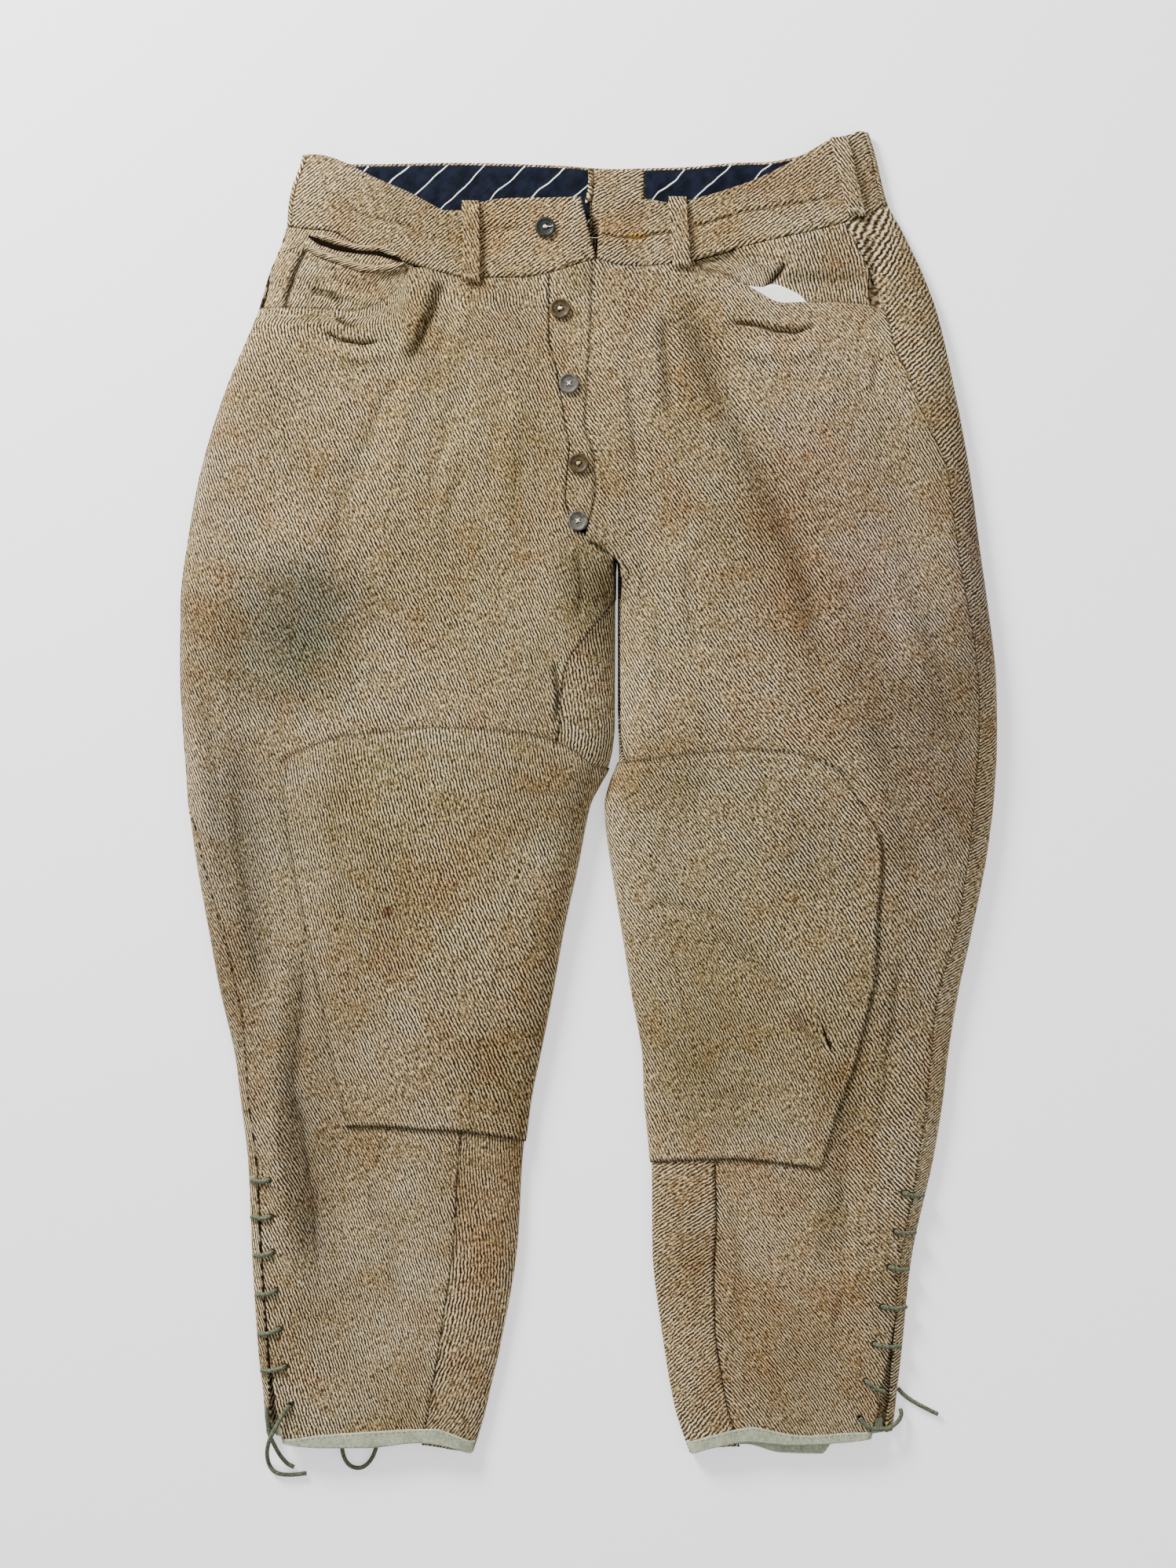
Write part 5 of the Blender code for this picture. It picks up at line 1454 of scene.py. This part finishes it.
# %% Places on the cloth
def on_top(side, x, down, lift):
    """Points of the upper layer at x, down, moved out along its normals, and the normals."""
    x, down = np.asarray(x, float), np.asarray(down, float)
    step = 0.5
    slope_x = (top_height(side, x + step, down) - top_height(side, x - step, down)) / (2 * step)
    slope_y = (top_height(side, x, down - step) - top_height(side, x, down + step)) / (2 * step)
    out = np.stack([-slope_x, -slope_y, np.ones_like(x)], axis=-1)
    out /= np.linalg.norm(out, axis=-1, keepdims=True)
    spots = np.stack([x, TOP_Y - down, top_height(side, x, down)], axis=-1)
    return spots + out * lift, out


def walk(line, spacing):
    """Even places along a line of (x, down), and the way it runs there."""
    line = np.array(line, float)
    far = np.concatenate([[0], np.cumsum(np.linalg.norm(np.diff(line, axis=0), axis=1))])
    at = np.arange(spacing / 2, far[-1], spacing)
    spots = [np.interp(at, far, line[:, k]) for k in (0, 1)]
    ahead = [np.interp(at + 0.4, far, line[:, k]) - np.interp(at - 0.4, far, line[:, k]) for k in (0, 1)]
    return spots, ahead


def frame_matrix(spot, out, way=(1, 0)):
    """A matrix whose Z is the way out and whose X runs along way on the cloth."""
    z = Vector(out)
    y = z.cross(Vector((way[0], -way[1], 0))).normalized()
    turn = Matrix((y.cross(z), y, z)).transposed().to_4x4()
    return Matrix.Translation(Vector(spot) * MM) @ turn


def bead(work, place, long, wide, thick, fine=True):
    size = Matrix.Diagonal((long / 2 * MM, wide / 2 * MM, thick / 2 * MM, 1))
    bmesh.ops.create_icosphere(work, subdivisions=2 if fine else 1, radius=1, matrix=place @ size)


def stitches(name, side, lines, material, long=2.2, gap=1.2, wide=0.7, lift=TWILL / 2):
    work = bmesh.new()
    for line in lines:
        (x, down), ahead = walk(line, long + gap)
        spots, outs = on_top(side, x, down, lift)
        for spot, out, *way in zip(spots, outs, *ahead):
            bead(work, frame_matrix(spot, out, way), long, wide, wide * 0.9, fine=False)
    print(name, len(work.verts) // 12, "stitches")
    return add_piece(name, work, material)


# %% [markdown]
# Machine stitching holds the patches with two rows along their top and foot, and one row at the side.
# Two rows run below each pocket's mouth, and a J-shaped row holds the fly's facing. Dark stitches
# show in the inseams where the seam has been drawn open.

# %% Rows of stitching
def below(table, drop, start, end, count=60):
    """A row that follows a table's curve at a distance below it, or above if drop is below 0."""
    xs = np.linspace(start, end, count)
    return list(zip(xs, curve(table, xs) + drop))


def beside(table, inset, start, end, count=60):
    downs = np.linspace(start, end, count)
    return list(zip(curve(table, downs) + inset, downs))


ON_PATCH = PATCH_LIFT + SINGLE / 2 - 0.15
stitches("stitch_patch_right", "right", (
    below(PATCH_TOP["right"], 4.6, -216, -8), below(PATCH_TOP["right"], 11.5, -214, -12),
    below(PATCH_FOOT["right"], -4.4, -171, -52), below(PATCH_FOOT["right"], -10.5, -173, -52),
    beside(PATCH_SIDE["right"], 4.6, 472, 724)), TAN_THREAD, lift=ON_PATCH)
stitches("stitch_patch_left", "left", (
    below(PATCH_TOP["left"], 4.6, 26, 178), below(PATCH_TOP["left"], 11.5, 30, 176),
    below(PATCH_FOOT["left"], -4.4, 54, 166), below(PATCH_FOOT["left"], -10.5, 54, 168),
    beside(PATCH_SIDE["left"], -4.6, 480, 755)), TAN_THREAD, lift=ON_PATCH)
stitches("stitch_pocket_right", "right", (
    below(FRONT_TOP["right"], 6.4, -240, -137), below(FRONT_TOP["right"], 1.6, -240, -139)), TAN_THREAD)
stitches("stitch_pocket_left", "left", (
    below(FRONT_TOP["left"], 6.0, 86, 212), below(FRONT_TOP["left"], 1.6, 84, 212)), TAN_THREAD)
FLY_STITCH = ((825, 352), (823, 410), (823, 468), (823, 510), (828, 582), (829, 619), (825, 650),
              (816, 674), (803, 684), (789, 687))
stitches("stitch_fly", "left", (on_cloth(FLY_STITCH),), DARK_THREAD, long=1.9, wide=0.4)
stitches("stitch_fly_edge", "left", (beside(FLY_EDGE, 2.2, 100, 292),), TAN_THREAD, wide=0.45)
stitches("stitch_bar_left", "left", (on_cloth(((1111, 1461), (1150, 1463), (1184, 1464))),), TAN_THREAD,
         wide=0.8, long=2.8)
INSEAM_DASHES = {
    "right": (((718, 875), (706, 930)), ((664, 1092), (645, 1183), (625, 1260)),
              ((612, 1318), (603, 1355), (598, 1400))),
    "left": (((826, 1084), (841, 1149), (850, 1190)), ((855, 1206), (868, 1268), (874, 1290)),
             ((880, 1318), (887, 1356))),
}
for side, lines in INSEAM_DASHES.items():
    stitches("stitch_inseam_" + side, side, [on_cloth(line) for line in lines], DARK_THREAD, gap=2.6,
             long=3.0, wide=0.8, lift=PATCH_LIFT + SINGLE / 2 + 0.75)
for side, ends in (("right", (-222, -92)), ("left", (78, 206))):
    stitches("stitch_tape_" + side, side, (below(TAPE_TOP[side], 1.6, *ends),), SAGE_THREAD,
             long=2.6, gap=1.6, lift=TWILL / 2 + 0.3 + COTTON)

# %% [markdown]
# The right pocket's seam has come undone. The facing's top edge is folded down into a thin roll, the
# gap above it is dark, drawn as a thin sheet of painted shade, and a few threads hang out. A narrow
# strip bent over a line gives such rolls, and also the piped end of the lining and the rip on the left
# patch, which is a sheet of painted shade.

# %% Rolls, gaps and frayed threads
def strip(name, side, line, wide, lift, arch, material, grain=0, thick=0.9, level=None,
          shaded_and_stained=True):
    """A narrow strip along a line of photograph places, bent up by arch in its middle."""
    spots = np.array(on_cloth(line))
    far = np.linspace(0, 1, len(spots))

    def place(across, along):
        x, down = (np.interp(along, far, spots[:, k]) for k in (0, 1))
        ahead = [np.interp(np.minimum(along + 0.02, 1), far, spots[:, k])
                 - np.interp(np.maximum(along - 0.02, 0), far, spots[:, k]) for k in (0, 1)]
        length = np.hypot(*ahead)
        narrow = wide * (0.35 + 0.65 * smooth(along / 0.12) * smooth((1 - along) / 0.12))
        x = x - ahead[1] / length * (across - 0.5) * narrow
        down = down + ahead[0] / length * (across - 0.5) * narrow
        base = level if level is not None else top_height(side, x, down)
        return x, down, base + lift + arch * np.sin(np.pi * across) * (1 + 0.2 * np.sin(19 * along))
    return cloth(name, place, 8, 60, thick, material, grain, bunched=0, shaded_and_stained=shaded_and_stained,
                 declared=False)


strip("torn_seam_roll", "right", ((391, 318), (413, 328), (436, 336), (461, 345), (478, 346),
                                  (498, 345), (516, 339)), 5.2, TWILL / 2, 1.7, TWEED, grain=60)
strip("torn_seam_gap_shade", "right", ((394, 303), (410, 312), (430, 319), (455, 323), (480, 325),
                                 (500, 330), (513, 336)), 3.4, SINGLE / 2 + 0.5, 0.3, SHADE_DARK, thick=0.3,
      shaded_and_stained=False)
strip("torn_seam_lip", "right", ((404, 303), (430, 311), (458, 319), (486, 320), (508, 329)), 3.6,
      TWILL / 2 + 0.3, 1.5, TWEED, grain=60)
strip("rip_shade_left_patch", "left", ((1044, 1300), (1049, 1316), (1057, 1334)), 1.3, ON_PATCH + 0.4, 0.05,
      SHADE_DARK, thick=0.2, shaded_and_stained=False)
strip("lining_piped_end", "right", ((752, 214), (753, 228), (752, 244), (747, 258)), 3.4, 0.4, 1.1,
      TWEED, grain=50, level=WAISTBAND + LAY_GAP + COTTON)


def tube(name, runs, diameter, material, nodes=()):
    """Threads or laces as one curve object, a spline for each run of points in millimetres."""
    made = bpy.data.curves.new(name, "CURVE")
    made.dimensions = "3D"
    made.bevel_depth = diameter / 2 * MM
    made.bevel_resolution = 4
    made.use_fill_caps = True
    for points in runs:
        spline = made.splines.new("POLY")
        spline.points.add(len(points) - 1)
        for spot, place in zip(spline.points, points):
            spot.co = (*(Vector(place) * MM), 1)
        spline.use_smooth = True
    piece = bpy.data.objects.new(name, made)
    made.materials.append(material)
    bpy.context.scene.collection.objects.link(piece)
    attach(piece, "root")
    if nodes:
        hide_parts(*nodes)
    return piece


def rounded(points, steps=5):
    """The points with a smooth curve through them."""
    points = [np.array(p, float) for p in points]
    ends = [2 * points[0] - points[1], *points, 2 * points[-1] - points[-2]]
    made = []
    for a, b, c, d in zip(ends, ends[1:], ends[2:], ends[3:]):
        for t in np.arange(steps) / steps:
            made.append(0.5 * (2 * b + (c - a) * t + (2 * a - 5 * b + 4 * c - d) * t ** 2
                               + (3 * b - a - 3 * c + d) * t ** 3))
    return made + [points[-1]]


FRAYED = (((388, 309), (380, 316), (371, 318), (361, 322)), ((387, 308), (379, 313), (370, 321)),
          ((389, 312), (386, 321), (383, 329)))
frayed_runs = []
for line in FRAYED:
    x, down = zip(*on_cloth(line))
    spots, _ = on_top("right", x, down, SINGLE / 2 + 0.6)
    frayed_runs.append(rounded(spots))
tube("frayed_threads", frayed_runs, 0.6, TAN_THREAD)

# %% [markdown]
# The buttons are turned horn or a plastic like it: a flat disc with a raised rim, a dished face and four
# drilled holes. A profile is spun round, and four drills are subtracted. Each is sewn on in its own
# way: with a knot, or with a cross of thread.

# %% Buttons
PROFILE = ((0, -1.3), (6.0, -1.3), (7.1, -0.6), (7.5, 0.2), (7.3, 0.9), (6.8, 1.25), (6.2, 1.3),
           (5.7, 1.05), (5.2, 0.6), (4.4, 0.38), (0, 0.32))
HOLE_RADIUS, HOLE_OUT = 0.85, 2.0
BUTTON_TURN = {"button_waist": 0.3, "button_fly_1": 0.5, "button_fly_2": 0.1, "button_fly_3": 0.9,
               "button_fly_4": 0.15}


def turned_button():
    """The drilled button's mesh, at the origin."""
    work = bmesh.new()
    ring = [work.verts.new((r * MM, 0, z * MM)) for r, z in PROFILE]
    edges = [work.edges.new(pair) for pair in zip(ring, ring[1:])]
    bmesh.ops.spin(work, geom=ring + edges, cent=(0, 0, 0), axis=(0, 0, 1), dvec=(0, 0, 0),
                   angle=2 * math.pi, steps=44, use_merge=True)
    bmesh.ops.remove_doubles(work, verts=work.verts[:], dist=1e-6)
    bmesh.ops.recalc_face_normals(work, faces=work.faces[:])
    drills = bmesh.new()
    for k in range(4):
        turn = math.pi / 4 + k * math.pi / 2
        spot = (HOLE_OUT * MM * math.cos(turn), HOLE_OUT * MM * math.sin(turn), 0)
        bmesh.ops.create_cone(drills, cap_ends=True, segments=16, radius1=HOLE_RADIUS * MM,
                              radius2=HOLE_RADIUS * MM, depth=0.008, matrix=Matrix.Translation(spot))
    made = []
    for title, shape in (("blank", work), ("drill", drills)):
        mesh = bpy.data.meshes.new(title)
        shape.to_mesh(mesh)
        shape.free()
        made.append(bpy.data.objects.new(title, mesh))
        bpy.context.scene.collection.objects.link(made[-1])
    cut = made[0].modifiers.new("Holes", "BOOLEAN")
    cut.object = made[1]
    graph = bpy.context.evaluated_depsgraph_get()
    drilled = bpy.data.meshes.new_from_object(made[0].evaluated_get(graph))
    for thing in made:
        bpy.data.objects.remove(thing)
    drilled.polygons.foreach_set("use_smooth", [True] * len(drilled.polygons))
    drilled.set_sharp_from_angle(angle=math.radians(35))
    return drilled


def sew_on(name, place, way):
    """The threads in a button's holes: a cross, or a knot with or without a tail."""
    work = bmesh.new()
    if way == "cross":
        for turn in (math.pi / 4, 3 * math.pi / 4):
            across = place @ Matrix.Translation((0, 0, 0.75 * MM)) @ Matrix.Rotation(turn, 4, "Z")
            bead(work, across, 5.0, 0.9, 0.9)
    else:
        for shift, size in (((-0.5, 0.3), 2.4), ((0.7, -0.2), 2.0), ((0.1, 0.7), 1.7)):
            bead(work, place @ Matrix.Translation((shift[0] * MM, shift[1] * MM, 0.9 * MM)), size, size,
                 1.3)
    if way == "tail":
        for k, (x, y, turn) in enumerate(((2.2, -0.6, -0.4), (4.2, -1.0, 0.1), (6.0, -0.5, 0.4))):
            bead(work, place @ Matrix.Translation((x * MM, y * MM, (1.1 - 0.1 * k) * MM))
                 @ Matrix.Rotation(turn, 4, "Z"), 2.9, 0.6, 0.6)
    thread = cord_or_horn("olive_thread", ((0.4, "#8E8C4C"), (0.6, "#B5B272")), 0.6, 0.9,
                          0.3) if way == "olive" else WHITE_THREAD
    return add_piece("thread_" + name, work, thread)


SEWN = {"button_waist": "tail", "button_fly_1": "knot", "button_fly_2": "cross",
        "button_fly_3": "olive", "button_fly_4": "cross"}
HORN_OF = {"button_waist": "button_green", "button_fly_1": "button_brown",
           "button_fly_2": "button_grey", "button_fly_3": "button_brown", "button_fly_4": "button_grey"}
button_shape = turned_button()
for name, x, down, under in BUTTONS:
    (spot,), (out,) = on_top("right", [x], [down], under / 2 + LAY_GAP + BUTTON_THICK / 2)
    place = frame_matrix(spot, out) @ Matrix.Rotation(BUTTON_TURN[name], 4, "Z")
    work = bmesh.new()
    work.from_mesh(button_shape)
    work.transform(place)
    finish = HORN_OF[name]
    piece = add_piece("horn_" + name, work, HORN[finish], [name])
    piece.data.set_sharp_from_angle(angle=math.radians(35))
    sew_on(name, place, SEWN[name])
    print(name, "height", round(float(spot[2]), 1), "mm")

# %% [markdown]
# Each calf closes with a lace through seven worked eyelets in the front's edge. From each of the upper
# six, the lace runs round the outer fold to the back. Every eyelet is a hole with a rim of
# thread, made as a flat dark disc of painted shade with a ring of beads round it.

# %% Eyelets and lacing
LAST_EYELET = {"right": (-219.8, 939.0), "left": (199.5, 948.3)}
RIM = 1.9
# shares of the way from an eyelet to the fold at which a run of lace is placed
RUNG_SHARES = (0, 0.12, 0.33, 0.55, 0.75, 0.9)
RUNG_SAG = 1.3


def eyelets(side):
    spots = [(x, down) for x, down, _, _ in RUNGS[side]] + [LAST_EYELET[side]]
    centres, outs = on_top(side, *zip(*spots), TWILL / 2)
    rims, holes = bmesh.new(), bmesh.new()
    for centre, out in zip(centres, outs):
        place = frame_matrix(centre, out)
        bmesh.ops.create_circle(holes, cap_ends=True, segments=20, radius=RIM * MM,
                                matrix=place @ Matrix.Translation((0, 0, 0.12 * MM)))
        for k in range(16):
            turn = Matrix.Rotation(k * math.pi / 8, 4, "Z")
            bead(rims, place @ turn @ Matrix.Translation((RIM * MM, 0, 0.15 * MM)), 1.5, 0.85, 0.9)
    add_piece("eyelet_hole_shade_" + side, holes, SHADE_DARK)
    add_piece("eyelet_rims_" + side, rims, DARK_THREAD)


def rung(side, x, down, far_x, far_down):
    """One run of lace, up out of its eyelet, over the edge and down round the fold."""
    share = np.array(RUNG_SHARES)
    sag = RUNG_SAG * np.sin(np.pi * share)
    points, _ = on_top(side, lerp(x, far_x, share), lerp(down, far_down, share) + sag,
                       TWILL / 2 + 0.2 + LACE / 2)
    points[0, 2] -= 2.4
    points[1, 2] += 0.35
    way = -inward(side, "outer")
    tail = points[-1] + np.array([[way * 0.8, -0.4, -1.9], [way * 1.2, -0.8, -4.2]])
    return rounded([*points, *np.maximum(tail, [-1e9, -1e9, 1.7])])


for side in ("right", "left"):
    eyelets(side)
    tube("lacing_" + side, [rung(side, *facts) for facts in RUNGS[side]], LACE, LACE_GREEN,
         [f"lace_rung_{side}_{k}" for k in range(1, 7)])


# %% [markdown]
# The lace's ends are free. Each is one limp cord that leaves its eyelet, or comes out from under the
# hem, bends down over the edge and lies on the table. A curve with a round bevel follows the
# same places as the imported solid, smoothed between them.

# %% Free ends of the laces
CORD_FACTS = {
    "lace_end_right_upper": "bare", "lace_end_right_lower": "bare", "lace_end_left": "bare",
    "lace_bow_right": "object",
}
for name, route in LACE_RUNS.items():
    side = "right" if "right" in name else "left"
    points = []
    for x, down, height in route:
        (spot,), _ = on_top(side, [x], [down], TWILL / 2 + LAY_GAP + LACE / 2)
        spot[2] += LACE_HUMP
        points.append(spot if height is None else (x, TOP_Y - down, height))
    smoothed = rounded(points)
    cord = tube(name.replace("lace", "cord"), [smoothed], LACE, LACE_GREEN, [name])
    if name not in CORD_FACTS:
        continue


# %% [markdown]
# The photograph was taken from overhead on white paper, with soft light from the upper left. One big
# area light there draws the creases, a weaker one fills from the right, and a pale world keeps the
# shadows soft. The floor is a plain sheet just under the cloth. It gives a little light of its own,
# so that the paper stays as white as in the photograph.

# %% Floor and lights
def add_light(name, place, aim, size, power):
    lamp = bpy.data.lights.new(name, "AREA")
    lamp.shape, lamp.size, lamp.energy = "DISK", size, power
    made = bpy.data.objects.new(name, lamp)
    made.location = place
    made.rotation_mode = "QUATERNION"
    made.rotation_quaternion = (Vector(aim) - Vector(place)).to_track_quat("-Z", "Y")
    bpy.context.scene.collection.objects.link(made)


def add_floor():
    work = bmesh.new()
    bmesh.ops.create_grid(work, x_segments=1, y_segments=1, size=4.0,
                          matrix=Matrix.Translation((0, 0, -0.0006)))
    mesh = bpy.data.meshes.new("floor_paper")
    work.to_mesh(mesh)
    work.free()
    floor = bpy.data.objects.new("floor_paper", mesh)
    paper, _, shader = new_material("white_paper", Roughness=0.95, Specular_IOR_Level=0.1)
    shader.inputs["Base Color"].default_value = (*linear("#EAEAEA"), 1)
    shader.inputs["Emission Color"].default_value = (1, 1, 1, 1)
    shader.inputs["Emission Strength"].default_value = 0.6
    floor.data.materials.append(paper)
    bpy.context.scene.collection.objects.link(floor)


add_floor()
add_light("key", (-1.3, 1.75, 1.05), (0, 0, 0), 0.8, 165)
add_light("fill", (1.2, -0.6, 2.0), (0, 0, 0), 2.0, 16)
world = bpy.data.worlds.new("studio")
world.use_nodes = True
world.node_tree.nodes["Background"].inputs["Color"].default_value = (0.93, 0.95, 1.0, 1)
world.node_tree.nodes["Background"].inputs["Strength"].default_value = 0.72
bpy.context.scene.world = world
